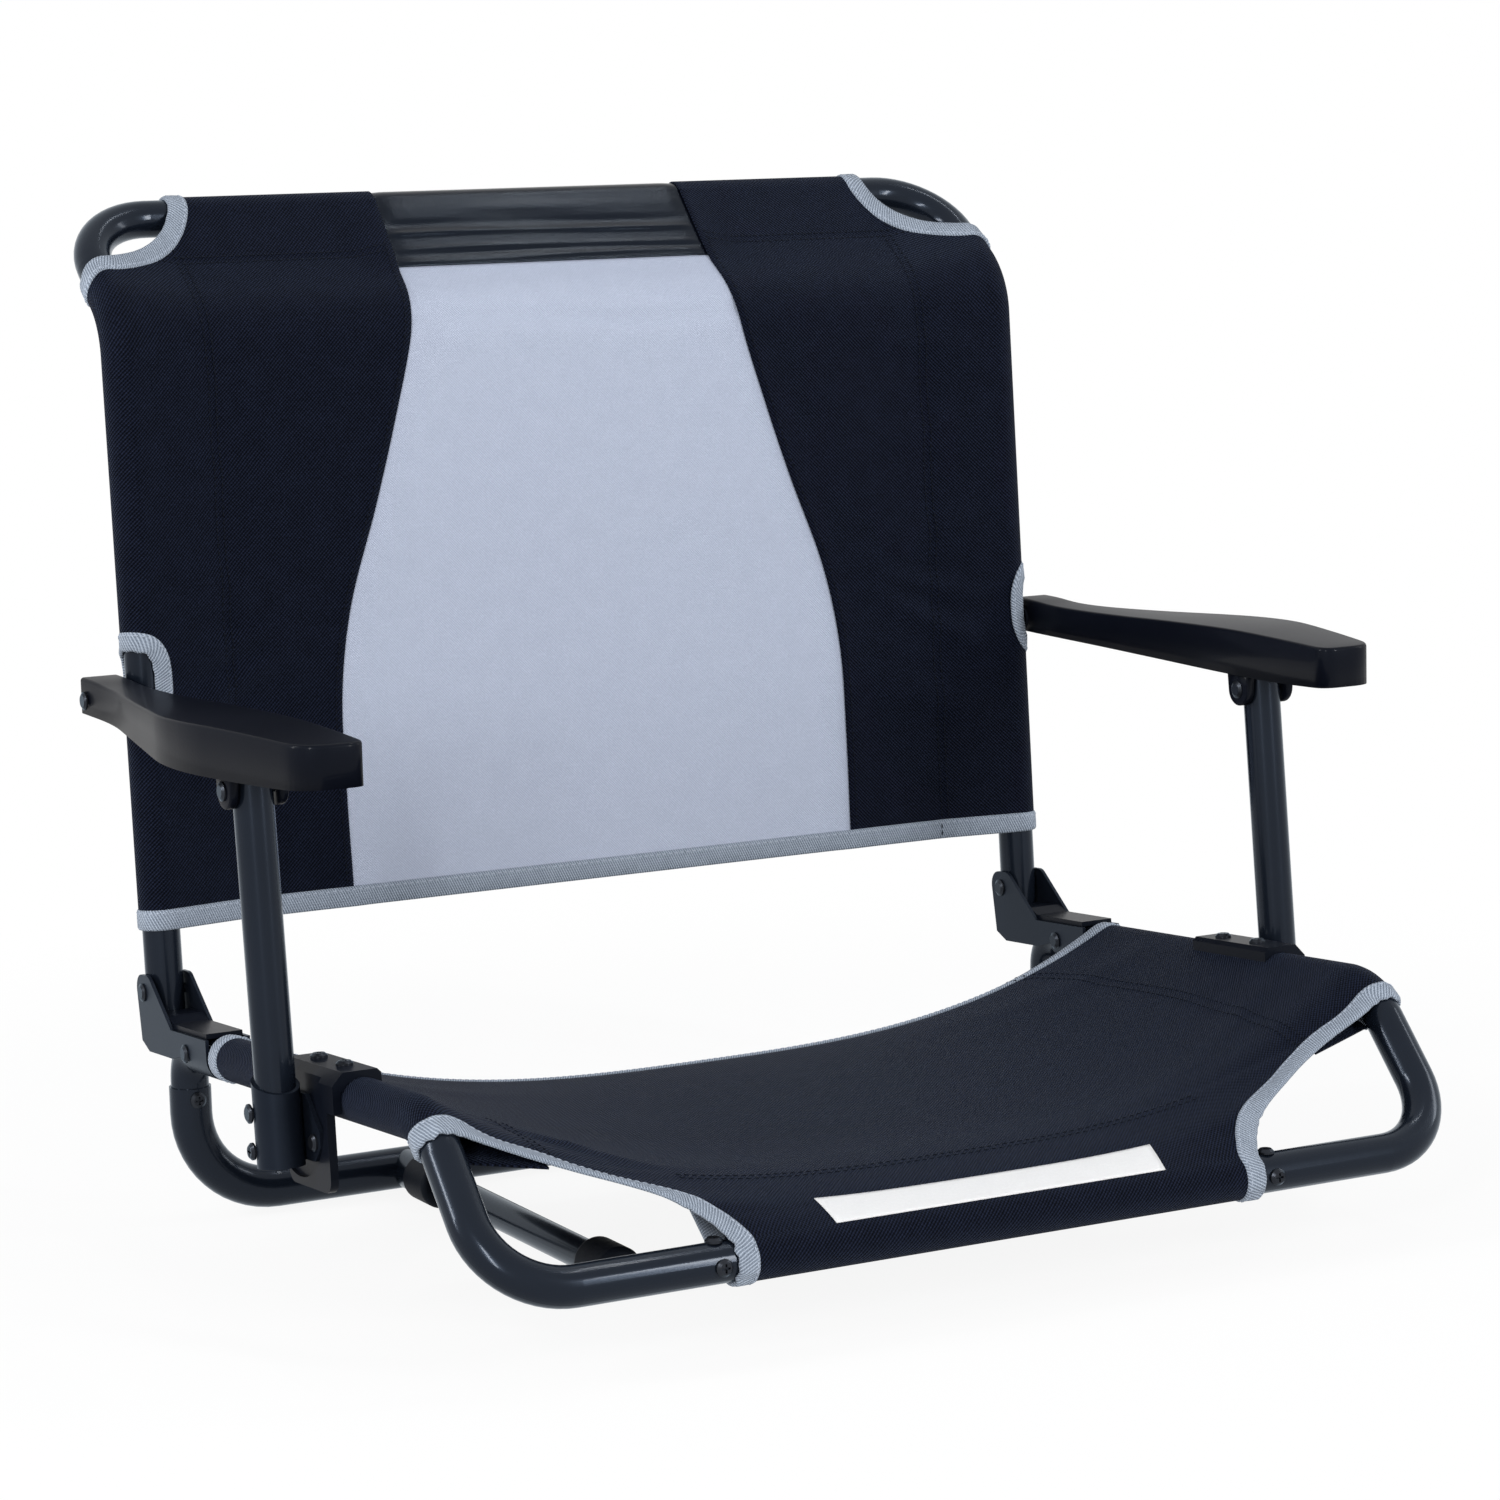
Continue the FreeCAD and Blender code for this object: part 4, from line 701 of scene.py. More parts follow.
# %% Tape helper
def bind_edge(name, line, inner, way, body, closed=False, pucker=0.0, step=2.2, width=1.0):
    """A band over an edge. inner is a line inside it, way is where the middle of the band looks."""
    count = max(8, int(lengths_along(line)[-1] / MM / step))
    both = even_run(np.hstack([line, unit(inner - line) * 1e-6]), count)
    if closed:
        both = both[:-1]
    line, inward = blur(both[:, :3], 2, closed), unit(blur(unit(both[:, 3:]), 3, closed))
    along = np.roll(line, -1, 0) - np.roll(line, 1, 0) if closed else np.gradient(line, axis=0)
    tangent = unit(along)
    inward = unit(inward - tangent * np.sum(inward * tangent, 1, keepdims=True))
    normal = np.cross(tangent, inward)
    if normal[len(normal) // 2] @ np.array(way) < 0:
        normal = -normal
    length = lengths_along(line) / MM
    curved = np.linalg.norm(np.gradient(tangent, axis=0), axis=1) / np.gradient(length)
    gather = blur(np.clip(curved * 32 - 0.3, 0, 1), 3, closed)
    ripple = (pucker * gather * (np.sin(length * 0.95) + 0.6 * np.sin(length * 0.53 + 1.3)))[:, None]
    reach = np.append(BAND[:, 0], BAND[0, 0]) * width
    lift = np.append(BAND[:, 1], BAND[0, 1])
    into = reach[None] + ripple * 0.8 * (reach[None] < 1)
    proud = lift[None] + ripple * 0.7 * (lift[None] > 0) * (1 - 0.7 * reach[None] / reach.max())
    points = line[:, None] + (inward[:, None] * into[..., None] + normal[:, None] * proud[..., None]) * MM
    around = lengths_along(np.stack([reach, lift], -1))
    flat = flat_map(length[:, None], around[None])
    if closed:
        points = np.concatenate([points, points[:1]])
        flat = np.concatenate([flat, flat[:1] + (length[-1] * MM + step * MM, 0)])
    bm = bmesh.new()
    add_grid(bm, points, flat)
    bmesh.ops.remove_doubles(bm, verts=bm.verts, dist=0.00002)
    bmesh.ops.holes_fill(bm, edges=[edge for edge in bm.edges if edge.is_boundary], sides=0)
    fresh_normals(bm)
    piece = as_piece(bm, name, edge_tape, body)
    tape_threads[body].append((line + (inward * 7.9 * width + normal * 1.62) * MM, normal))
    print(f"{name}: {length[-1]:.0f} mm of tape")
    return piece


print("tape helper ready")

# %% Seat tapes
SIDES = (("right", 1), ("left", -1))
rear_tape = bind_edge("seat_rear_tape", rail_points[0], rail_points[1], (0, 0, 1), "seat")
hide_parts("seat_rear_binding")
seat_tree = BVHTree.FromPolygons([vert.co for vert in seat_cloth.data.vertices],
                                 [polygon.vertices for polygon in seat_cloth.data.polygons])
down = Vector(on_rails(0, 0, -1.0) - on_rails(0, 0, 0.0)).normalized()


def on_seat(x, d):
    """The seat cloth at a place, found with a ray from above, and the way it faces there."""
    spot, way, _, _ = seat_tree.ray_cast(Vector(on_rails(x, d, 40.0)), down)
    return np.array(spot), np.array(way)


INSIDE = 6.0
HELD = LOOP_STEPS + 1
cut_plan = front_edge[RING_ROWS + 1:, :2]
cut_way = unit(np.gradient(cut_plan, axis=0))
inside_plan = cut_plan + INSIDE * np.stack([-cut_way[:, 1], cut_way[:, 0]], -1)
inside_front = [on_seat(x, d)[0] for x, d in inside_plan]
seat_cut = np.vstack([end_right[-1, HELD::-1], front_points[RING_ROWS + 1:, -1], bar_points[1:, -1]])
inside_cut = np.vstack([end_right[-2, HELD::-1], inside_front, bar_points[1:, -2]])
seat_tapes = [bind_edge(f"{side}_seat_tape", seat_cut * (sign, 1, 1), inside_cut * (sign, 1, 1), (0, 0, 1),
                        "seat", pucker=0.6, step=1.7) for side, sign in SIDES]

# %% [markdown]
# ## The back
# Each side of the back is a black panel that loops round the upright, with an opening where the armrest's
# bolt goes through, and loops over the top bar. The grey middle panel is sewn between the two. Its sides
# are S-curves, so the black panels start from that curve and not from a straight line.

# %% Back outline
HEM = 32.2
BACK_SEAM = 207.0
TOP_SEAM = TOP_BAR - 36.0
SLEEVE_TOP = 362.0
RING_D = 372.0
TOP_HALF = 204.0
REAR_LAYER = -1.0
WRAP_R, WRAP_LOW, WRAP_HALF = 9.85, 367.0, 97.0
touch_angle, BACK_TOUCH_X, BACK_TOUCH_H = touch_point(SIDE_X, BACK_SEAM, LOOP_R)
top_angle, TOP_TOUCH_D, _ = touch_point(TOP_BAR, TOP_SEAM, LOOP_R)
wrap_angle, WRAP_TOUCH_D, WRAP_TOUCH_H = touch_point(TOP_BAR, WRAP_LOW, WRAP_R)
waist = smooth_line([(20, 147.5), (43, 147.5), (94, 148), (142, 147), (187, 139), (236, 122), (279, 108.5),
                     (325, 96), (369, 91), (430, 90)], 200)
print("the wrap meets the top bar at d", round(WRAP_TOUCH_D, 1), "h", round(WRAP_TOUCH_H, 1))


# %% Back heights and folds
def panel_half(d):
    """Half the width of the grey panel at a height."""
    return np.interp(d, waist[:, 0], waist[:, 1])


def wrap_height(d):
    """How far the vinyl wrap stands off the tubes' middle plane, below the top bar."""
    return 0.7 + (WRAP_TOUCH_H - 0.7) * (d - WRAP_LOW) / (WRAP_TOUCH_D - WRAP_LOW)


def back_height(x, d):
    """How far the front layer stands off the tubes' middle plane: it rises to the upright and the top bar."""
    out = np.clip((x - BACK_SEAM) / (BACK_TOUCH_X - BACK_SEAM), 0, 1)
    up = np.clip((d - TOP_SEAM) / (TOP_TOUCH_D - TOP_SEAM), 0, 1)
    lap = 0.75 * np.exp(-((x - panel_half(d)) / 10) ** 2)
    level = BACK_TOUCH_H * (1 - (1 - out) * (1 - up)) + lap
    over = np.maximum(wrap_height(d) + 1.0 - level, 0) * (1 - ease((x - panel_half(d) - 4) / 20))
    return level + over


def back_folds(x, d):
    """Faint slanting pulls in the side panels."""
    total = np.zeros(np.broadcast(x, d).shape)
    for foot_d, slope, height, width in ((92, 0.35, 2.6, 9), (128, 0.5, 2.5, 7), (160, 0.25, 2.2, 6),
                                         (214, -0.3, 2.8, 10), (262, -0.12, 2.2, 9), (300, 0.1, 1.8, 8)):
        off = (d - foot_d - slope * (SIDE_X - x)) / width
        total = total + height * np.exp(-off ** 2) * ease((245 - x) / 30) * ease((x - 150) / 60)
    return total


print("the loop meets the upright at x", round(BACK_TOUCH_X, 1), "h", round(BACK_TOUCH_H, 1))

# %% Back side panel
WIDE_STEPS, SLEEVE_STEPS = 26, 12
inner_share = np.linspace(0, 1, WIDE_STEPS + 1)
sleeve_share = np.linspace(0, 1, SLEEVE_STEPS + 1)[1:]


def back_front_x(d):
    start = panel_half(d)
    return np.concatenate([start + (BACK_SEAM - start) * inner_share,
                           BACK_SEAM + (BACK_TOUCH_X - BACK_SEAM) * sleeve_share])


loop_angles = np.linspace(touch_angle, -touch_angle, 28)[1:]
loop_x, loop_h = loop_and_flap((SIDE_X, 0), LOOP_R, loop_angles, (BACK_SEAM, REAR_LAYER), FLAP_STEPS)
side_rows = np.concatenate([np.linspace(HEM, 128, 24), np.linspace(128, 184, 34)[1:],
                            np.linspace(184, 316, 32)[1:], np.linspace(316, SLEEVE_TOP, 18)[1:]])
front_cols = np.array([back_front_x(d) for d in side_rows])
front_level = back_height(front_cols, side_rows[:, None]) + back_folds(front_cols, side_rows[:, None])
rows = len(side_rows)
side_x = np.hstack([front_cols, np.tile(loop_x, (rows, 1))])
side_h = np.hstack([front_level, np.tile(loop_h, (rows, 1))])
side_d = np.repeat(side_rows[:, None], side_x.shape[1], 1)
side_run = np.array([lengths_along(np.stack(pair, -1)) for pair in zip(side_x, side_h)])
OUTERMOST = front_cols.shape[1] + len(loop_angles) // 2 - 1
side_run = side_run - side_run[:, [OUTERMOST]]
side_points = on_back(side_x, side_d, side_h)
side_flat = flat_map(side_run, side_d)
print("side panel rows", side_points.shape)

# %% Back top corner
FRONT_COLUMNS = front_cols.shape[1]
corner_share = (front_cols[-1] - front_cols[-1, 0]) / (front_cols[-1, -1] - front_cols[-1, 0])
RING_STEPS, RING_SLANT = 4, 7.0
ring_rows = np.linspace(SLEEVE_TOP, RING_D, RING_STEPS)
corner_edge = smooth_line([(BACK_TOUCH_X, RING_D), (241, 375.5), (229, 381.5), (217.5, 390), (209, 400),
                           (TOP_HALF, TOP_TOUCH_D)], 20)
top_edge = np.vstack([np.stack([np.full(RING_STEPS, BACK_TOUCH_X), ring_rows], -1), corner_edge[1:]])
top_middle = np.linspace(SLEEVE_TOP, TOP_TOUCH_D, len(top_edge))[:, None]
top_x0 = panel_half(top_middle)
top_d = top_middle + (top_edge[:, [1]] - top_middle) * corner_share ** 2.5
top_x = top_x0 + (top_edge[:, [0]] - top_x0) * corner_share
top_points = on_back(top_x, top_d, back_height(top_x, top_d))
top_points[0] = side_points[-1, :FRONT_COLUMNS]
top_flat = flat_map(top_x - SIDE_X, top_d)
print("corner rows", top_points.shape)

# %% Loop over the top bar
wrap_angles = np.linspace(top_angle, -top_angle, 22)
wrap_d, wrap_h = loop_and_flap((TOP_BAR, 0), LOOP_R, wrap_angles, (TOP_SEAM, REAR_LAYER),
                               FLAP_STEPS)[..., None]
wrap_points = on_back(top_x[-1:], wrap_d, wrap_h)
wrap_points[0] = top_points[-1]
wrap_run = TOP_TOUCH_D + lengths_along(np.hstack([wrap_d, wrap_h]))
wrap_flat = flat_map(top_x[-1:] - SIDE_X, wrap_run[:, None])
print("bar loop rows", wrap_points.shape)

# %% End of the loop on the upright
ring_x = side_x[-1:, FRONT_COLUMNS - 1:]
ring_h = side_h[-1:, FRONT_COLUMNS - 1:].copy()
ring_h[0, 0] = BACK_TOUCH_H
turned = 1 - np.sin(np.clip(loop_angles, 0, None))
slant = RING_SLANT * np.concatenate([[0], turned, np.ones(FLAP_STEPS)])
ring_d = ring_rows[:, None] - slant[None] * np.linspace(0, 1, RING_STEPS)[:, None]
ring_points = on_back(ring_x, ring_d, ring_h)
ring_points[:, 0] = top_points[:RING_STEPS, -1]
ring_points[0] = side_points[-1, FRONT_COLUMNS - 1:]
ring_flat = flat_map(side_run[-1:, FRONT_COLUMNS - 1:], ring_d)
print("loop end rows", ring_points.shape)

# %% [markdown]
# ### The arm openings
# The armrest's bolt passes through a small opening in the loop, a square with round corners. On the grid it
# is made by removing the faces inside an outline drawn on the flat cloth, and sliding the points of the
# ragged rim onto it. Each loop has turned a little on its tube, so the openings are not quite opposite.

# %% Arm opening
OPEN_D, OPEN_HALF_D, OPEN_HALF_RUN = 156.0, 17.0, 13.5
OPEN_TURN = {1: 4.0, -1: -4.5}
SQUARENESS = 3.2
OPEN_ROW = 40
section_run, section_x, section_h = side_run[OPEN_ROW], side_x[OPEN_ROW], side_h[OPEN_ROW]


def on_opening(run_off, d):
    """A point of the loop, from its run off the outermost line and its height."""
    return on_back(np.interp(run_off, section_run, section_x), d, np.interp(run_off, section_run, section_h))


def cut_opening(bm, turn):
    layer = bm.loops.layers.uv["flat"]

    def off_rim(flat):
        across, up = abs(flat.x / MM - turn) / OPEN_HALF_RUN, abs(flat.y / MM - OPEN_D) / OPEN_HALF_D
        return (across ** SQUARENESS + up ** SQUARENESS) ** (1 / SQUARENESS)
    inside = [face for face in bm.faces
              if off_rim(sum((loop[layer].uv for loop in face.loops), Vector((0, 0))) / len(face.loops)) < 1]
    bmesh.ops.delete(bm, geom=inside, context="FACES")
    for vert in bm.verts:
        flat = vert.link_loops[0][layer].uv.copy()
        off = off_rim(flat)
        if vert.is_boundary and 0.6 < off < 1.4:
            run_off, d = turn + (flat.x / MM - turn) / off, OPEN_D + (flat.y / MM - OPEN_D) / off
            vert.co = on_opening(run_off, d)
            for loop in vert.link_loops:
                loop[layer].uv = (run_off * MM, d * MM)


print("opening is", 2 * OPEN_HALF_D, "by", 2 * OPEN_HALF_RUN, "mm")


# %% Back sides
def back_side(name, sign):
    def open_and_flip(bm):
        cut_opening(bm, OPEN_TURN[sign])
        bmesh.ops.scale(bm, verts=bm.verts, vec=(sign, 1, 1))

    return sheet_piece(name, [(side_points, side_flat), (top_points, top_flat), (wrap_points, wrap_flat),
                              (ring_points, ring_flat)], black_cloth, "backrest", (0, -1, 0),
                       shape=open_and_flip)


right_back = back_side("right_back_cloth", 1)
left_back = back_side("left_back_cloth", -1)
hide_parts("right_back_panel", "right_back_sleeve", "top_sleeves")
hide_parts("left_back_panel", "left_back_sleeve")

# %% [markdown]
# ### Grey panel and top wrap
# The grey panel is flat between its seams and takes a soft crease where the frame curls back. Over the
# middle of the top bar the cloth gives way to a smooth black vinyl wrap, drawn tight, with long creases.

# %% Grey panel
GREY_TOP, GREY_HALF, GREY_TUCK = 374.0, 148, 5
grey_rows = np.concatenate([np.linspace(HEM, 300, 50), np.linspace(300, GREY_TOP, 30)[1:]])
grey_share = np.linspace(-1, 1, 71)
grey_d = np.repeat(grey_rows[:, None], len(grey_share), 1)
grey_x = grey_share[None] * (panel_half(grey_rows)[:, None] + GREY_TUCK)
crease = 2.2 * np.exp(-((grey_d - 329 + 3 * np.sin(grey_x / 31)) / 5.5) ** 2) * np.cos(grey_x / 90)
belly = -1.2 * (1 - grey_share[None] ** 2) * np.sin(np.pi * np.clip((grey_d - HEM) / 300, 0, 1))
grey_points = on_back(grey_x, grey_d, -0.45 - crease + belly)
grey_flat = flat_map(grey_x, grey_d)
grey_panel = sheet_piece("grey_back_panel", [(grey_points, grey_flat)], grey_cloth, "backrest",
                         (0, -1, 0), 0.0009)
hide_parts("back_centre_panel")

# %% Top wrap
RISE_STEPS = 55
rise_d = WRAP_LOW + (WRAP_TOUCH_D - WRAP_LOW) * np.linspace(0, 1, RISE_STEPS + 1)
vinyl_angles = np.linspace(wrap_angle, -wrap_angle, 30)[1:]
over_d, over_h = loop_and_flap((TOP_BAR, 0), WRAP_R, vinyl_angles, (WRAP_LOW + 4, REAR_LAYER), RISE_STEPS)
vinyl_d, vinyl_h = np.append(rise_d, over_d), np.append(wrap_height(rise_d), over_h)
vinyl_run = lengths_along(np.stack([vinyl_d, vinyl_h], -1))
vinyl_x = np.linspace(-WRAP_HALF, WRAP_HALF, 61)
creases = np.zeros((len(vinyl_run), len(vinyl_x)))
for place, height, width, phase in ((3.5, 0.5, 1.3, 0.3), (7.5, -0.5, 1.5, 1.4), (11, 0.45, 1.4, 2.2),
                                    (21, 1.1, 1.7, 2.6), (27, -0.7, 3.0, 2.9), (38, 0.5, 4.0, 4.0),
                                    (88, 0.5, 3.0, 0.9), (100, -0.5, 2.6, 2.0)):
    off = (vinyl_run[:, None] - place - 0.9 * np.sin(vinyl_x[None] / 38 + phase)) / width
    creases += height * np.exp(-off ** 2) * (0.7 + 0.3 * np.sin(vinyl_x[None] / 19 + 2 * phase))
tucked = ease((np.abs(vinyl_x) - 82) / 10)[None]
creases = creases * (1 - tucked) - 0.5 * tucked
slope_d, slope_h = np.gradient(vinyl_d), np.gradient(vinyl_h)
size = np.hypot(slope_d, slope_h)
out_d, out_h = -slope_h / size, slope_d / size
vinyl_points = on_back(vinyl_x[None], vinyl_d[:, None] + creases * out_d[:, None],
                       vinyl_h[:, None] + creases * out_h[:, None])
vinyl_flat = flat_map(vinyl_x[None], vinyl_run[:, None])
top_wrap = sheet_piece("vinyl_top_wrap", [(vinyl_points, vinyl_flat)], wrap_vinyl, "backrest",
                       (0, -1, 0), 0.0006)
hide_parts("top_wrap")


# %% Back tapes
def back_hem(row):
    half = side_points[row]
    return np.vstack([(half * (-1, 1, 1))[::-1], grey_points[row, 4:-4], half])


def back_cut(step):
    """The cut edge of the right top corner, or with a step of 2 the row of points inside it."""
    return np.vstack([ring_points[-step, ::-1], top_points[RING_STEPS:, -step], wrap_points[1:, -step]])


def arm_rim(turn, wider):
    """The outline of an opening, or one that is wider all round."""
    angle = np.linspace(0, 2 * np.pi, 161)
    across, up = np.cos(angle), np.sin(angle)
    reach = (np.abs(across) ** SQUARENESS + np.abs(up) ** SQUARENESS) ** (-1 / SQUARENESS)
    run_off = turn + (OPEN_HALF_RUN + wider) * reach * across
    return on_opening(run_off, OPEN_D + (OPEN_HALF_D + wider) * reach * up)


hem_tape = bind_edge("back_hem_tape", back_hem(0), back_hem(1), (0, -1, 0), "backrest")
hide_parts("back_hem_binding")
corner_tapes, arm_tapes = {}, {}
for side, sign in SIDES:
    flip = np.array((sign, 1, 1))
    corner_tapes[side] = bind_edge(f"{side}_corner_tape", back_cut(1) * flip, back_cut(2) * flip,
                                   (0, -0.6, 0.8), "backrest", pucker=0.2)
    rim, outside = (arm_rim(OPEN_TURN[sign], wider) * flip for wider in (0, 4))
    arm_tapes[side] = bind_edge(f"{side}_arm_tape", rim, outside, (0, -1, 0), "backrest", closed=True,
                                pucker=0.4, step=1.4, width=0.95)

# %% [markdown]
# ## Seams
# The loops are closed by rows of black stitches, and every tape is held by a row of pale ones. A stitch is
# a tiny stretched ball that lies along its seam and sinks half into the cloth. Seams are laid with the same
# place functions as the cloth, a hair above it.

# %% Stitch helper
STITCH = (1.5, 0.42, 0.34)
TAPE_SPACING = 3.6


def sew(name, seams, finish, body, spacing=4.2):
    """One piece of thread from many seams, each a line of points with its normals."""
    bm = bmesh.new()
    count = 0
    for line, normals in seams:
        one = bmesh.new()
        run = lengths_along(line)
        stops = np.arange(spacing / 2, run[-1] / MM, spacing) * MM
        ups = unit(at_stops(stops, run, normals))
        ways = unit(at_stops(stops, run, np.gradient(line, axis=0)))
        for place, up, way in zip(at_stops(stops, run, line), ups, ways):
            side = np.cross(up, way)
            turn = np.column_stack([way * STITCH[0], side * STITCH[1], up * STITCH[2]]) * MM
            bmesh.ops.create_uvsphere(one, u_segments=6, v_segments=4, radius=1, calc_uvs=False,
                                      matrix=Matrix.Translation(place) @ Matrix(turn.tolist()).to_4x4())
            count += 1
        seam = mesh_of(one, "seam")
        bm.from_mesh(seam)
        bpy.data.meshes.remove(seam)
    layer = bm.loops.layers.uv.new("flat")
    for face in bm.faces:
        for loop in face.loops:
            loop[layer].uv = (loop.vert.co.x + loop.vert.co.y, loop.vert.co.z)
    fresh_normals(bm)
    piece = as_piece(bm, name, finish, body)
    print(f"{name}: {count} stitches")
    return piece


def seam_on(place, x, d, h, lift=0.75):
    """A seam laid on the cloth by a place function, lifted off it along the face."""
    line = place(x, d, h)
    normals = unit(place(x, d, h + 1.0) - line)
    return line + normals * lift * MM, normals


print("a stitch is", 2 * STITCH[0], "mm long")

# %% Seat seams
seat_seams = []
side_seam = smooth_line([(REAR_EDGE, 193), (115, 202), (160, 207), (225, 211), (295, 206.5), (340, 203)], 90)


def seat_height(x, d):
    hung = np.array([hung_height(place, seat_sag(min(along, RAIL_END))) for place, along in zip(x, d)])
    return np.where(d < RAIL_END, hung + rear_droop(x, d), front_height(x, d)) + seat_folds(x, d)


for sign in (1, -1):
    for off in (-2.8, 2.8):
        d = np.linspace(REAR_EDGE + 11, 338, 90)
        x = sign * (np.interp(d, side_seam[:, 0], side_seam[:, 1]) + off)
        seat_seams.append(seam_on(on_rails, x, d, seat_height(x, d)))
        d_tack = np.linspace(REAR_EDGE - 0.4, REAR_EDGE + 10.2, 8)
        x_tack = np.full(8, sign * (side_seam[0, 1] + off))
        seat_seams.append(seam_on(on_rails, x_tack, d_tack, seat_height(x_tack, d_tack), 1.9))
    x_end = sign * np.linspace(200, 206, 6)
    d_end = np.full(6, 338.0)
    seat_seams.append(seam_on(on_rails, x_end, d_end, seat_height(x_end, d_end)))
for off in (-2.2, 2.2):
    x = np.linspace(-140, 140, 80)
    d = np.full_like(x, FRONT_SEAM + off)
    seat_seams.append(seam_on(on_rails, x, d, front_height(x, d) + seat_folds(x, d)))
seat_thread = sew("seat_seam_thread", seat_seams, black_thread, "seat")
seat_tape_thread = sew("seat_tape_thread", tape_threads["seat"], pale_thread, "seat",
                       TAPE_SPACING)

# %% Back seams
back_seams = []


def back_seam(sign, x, d, h, lift=0.75):
    line, normals = seam_on(on_back, x, d, h, lift)
    back_seams.append((line * (sign, 1, 1), normals * (sign, 1, 1)))


for sign in (1, -1):
    d = np.linspace(HEM + 11, TOP_SEAM + 6, 120)
    for off in (-1.5, 2.5):
        x = np.full_like(d, BACK_SEAM + off)
        back_seam(sign, x, d, back_height(x, d) + np.where(d < SLEEVE_TOP, back_folds(x, d), 0))
    x = panel_half(d) + 3.5
    back_seam(sign, x, d, back_height(x, d))
    for off in (-1.5, 2.5):
        x = np.linspace(94, 222, 60)
        d_top = np.full_like(x, TOP_SEAM + off)
        back_seam(sign, x, d_top, back_height(x, d_top))
    for off in (-2.4, 2.4):
        d_tack = np.linspace(HEM + 0.5, HEM + 9.5, 8)
        back_seam(sign, np.full(8, BACK_SEAM + off), d_tack, np.full(8, 0.9), 0.9)
back_thread = sew("back_seam_thread", back_seams, black_thread, "backrest", 3.8)
back_tape_thread = sew("back_tape_thread", tape_threads["backrest"], pale_thread, "backrest",
                       TAPE_SPACING)

# %% [markdown]
# ## The blank strip on the seat
# A plain white woven strip is sewn over the front edge of the seat. Each point of the strip is dropped onto
# the cloth with a ray, as one would do with a shrinkwrap, and lifted by a hair.

# %% Blank strip
STRIP_LEFT, STRIP_LONG, STRIP_NARROWS, STRIP_CUT = -87, 180, 5, 181
strip_share = np.linspace(0, 1, 60)
strip_d = np.linspace(369.5, 389.6, 12)
strip_rows = []
for d in strip_d:
    row = []
    for x in STRIP_LEFT + strip_share * (STRIP_LONG - STRIP_NARROWS * (d - strip_d[0]) / 20):
        spot, way = on_seat(x, d)
        row.append(spot + way * 0.9 * MM)
    strip_rows.append(row)
strip_points = np.array(strip_rows)
strip_run = lengths_along(strip_points[:, 30])
strip_flat = flat_map(strip_share[None] * STRIP_LONG, strip_run[:, None] / MM)
seat_strip = sheet_piece("seat_strip", [(strip_points, strip_flat)], label_weave, "seat",
                         (0, 0, 1), 0.0004)
print("strip is", round(strip_run[-1] / MM, 1), "mm deep")

# %% [markdown]
# ## Armrests
# The armrests are moulded in black nylon: a paddle that swells outwards over the post and narrows to its
# nose, with soft top edges and a hollow underside. The plan is drawn as one face, extruded, cut into short
# lengths so that the top can rise and fall along it, and bevelled. The underside is inset and pushed up to
# make the hollow, and two ears hang in it, each side of the post.

# %% Armrest plan
ARM_PLAN = [(11.5, 7.9), (31.6, 7.9), (31.0, -38), (55.5, -168), (55.0, -200), (36.0, -294.8), (4.8, -294.8),
            (5.2, -236), (11.5, -70)]
ARM_ROUND = [2.5, 2.5, 40, 15, 40, 15, 9, 40, 40]
ARM_TOP = smooth_line([(-310, 10.2), (-290, 10.8), (-250, 12.2), (-207, 12.9), (-150, 11.8), (-100, 10.2),
                       (-60, 9.4), (-30, 9.6), (-8, 10.9), (12, 11.3)], 120)
ARM_UNDER = smooth_line([(-310, -9.0), (-260, -10.4), (-207, -10.4), (-140, -9.4), (-70, -8.3), (-30, -7.6),
                         (12, -6.6)], 120)
ARM_BOLT = (253.0, 163.0, 262.0)


def rounded(corners, radii):
    """The plan with each corner turned into a short curve."""
    points = []
    count = len(corners)
    for index, (corner, radius) in enumerate(zip(corners, radii)):
        corner = np.array(corner, float)
        before, after = np.array(corners[index - 1], float), np.array(corners[(index + 1) % count], float)
        to_before, to_after = unit(before - corner), unit(after - corner)
        reach = min(radius, 0.48 * np.linalg.norm(before - corner), 0.48 * np.linalg.norm(after - corner))
        start, end = corner + to_before * reach, corner + to_after * reach
        for t in np.linspace(0, 1, 9):
            points.append((1 - t) ** 2 * start + 2 * t * (1 - t) * corner + t * t * end)
    return points


def moved(items):
    return [item for item in items if isinstance(item, bmesh.types.BMVert)]


print("armrest plan has", len(rounded(ARM_PLAN, ARM_ROUND)), "points")


# %% Armrest bar
def round_off(bm, edges, offset, segments):
    bmesh.ops.bevel(bm, geom=edges, offset=offset, offset_type="OFFSET", affect="EDGES", segments=segments,
                    profile=0.5, material=-1, clamp_overlap=True)


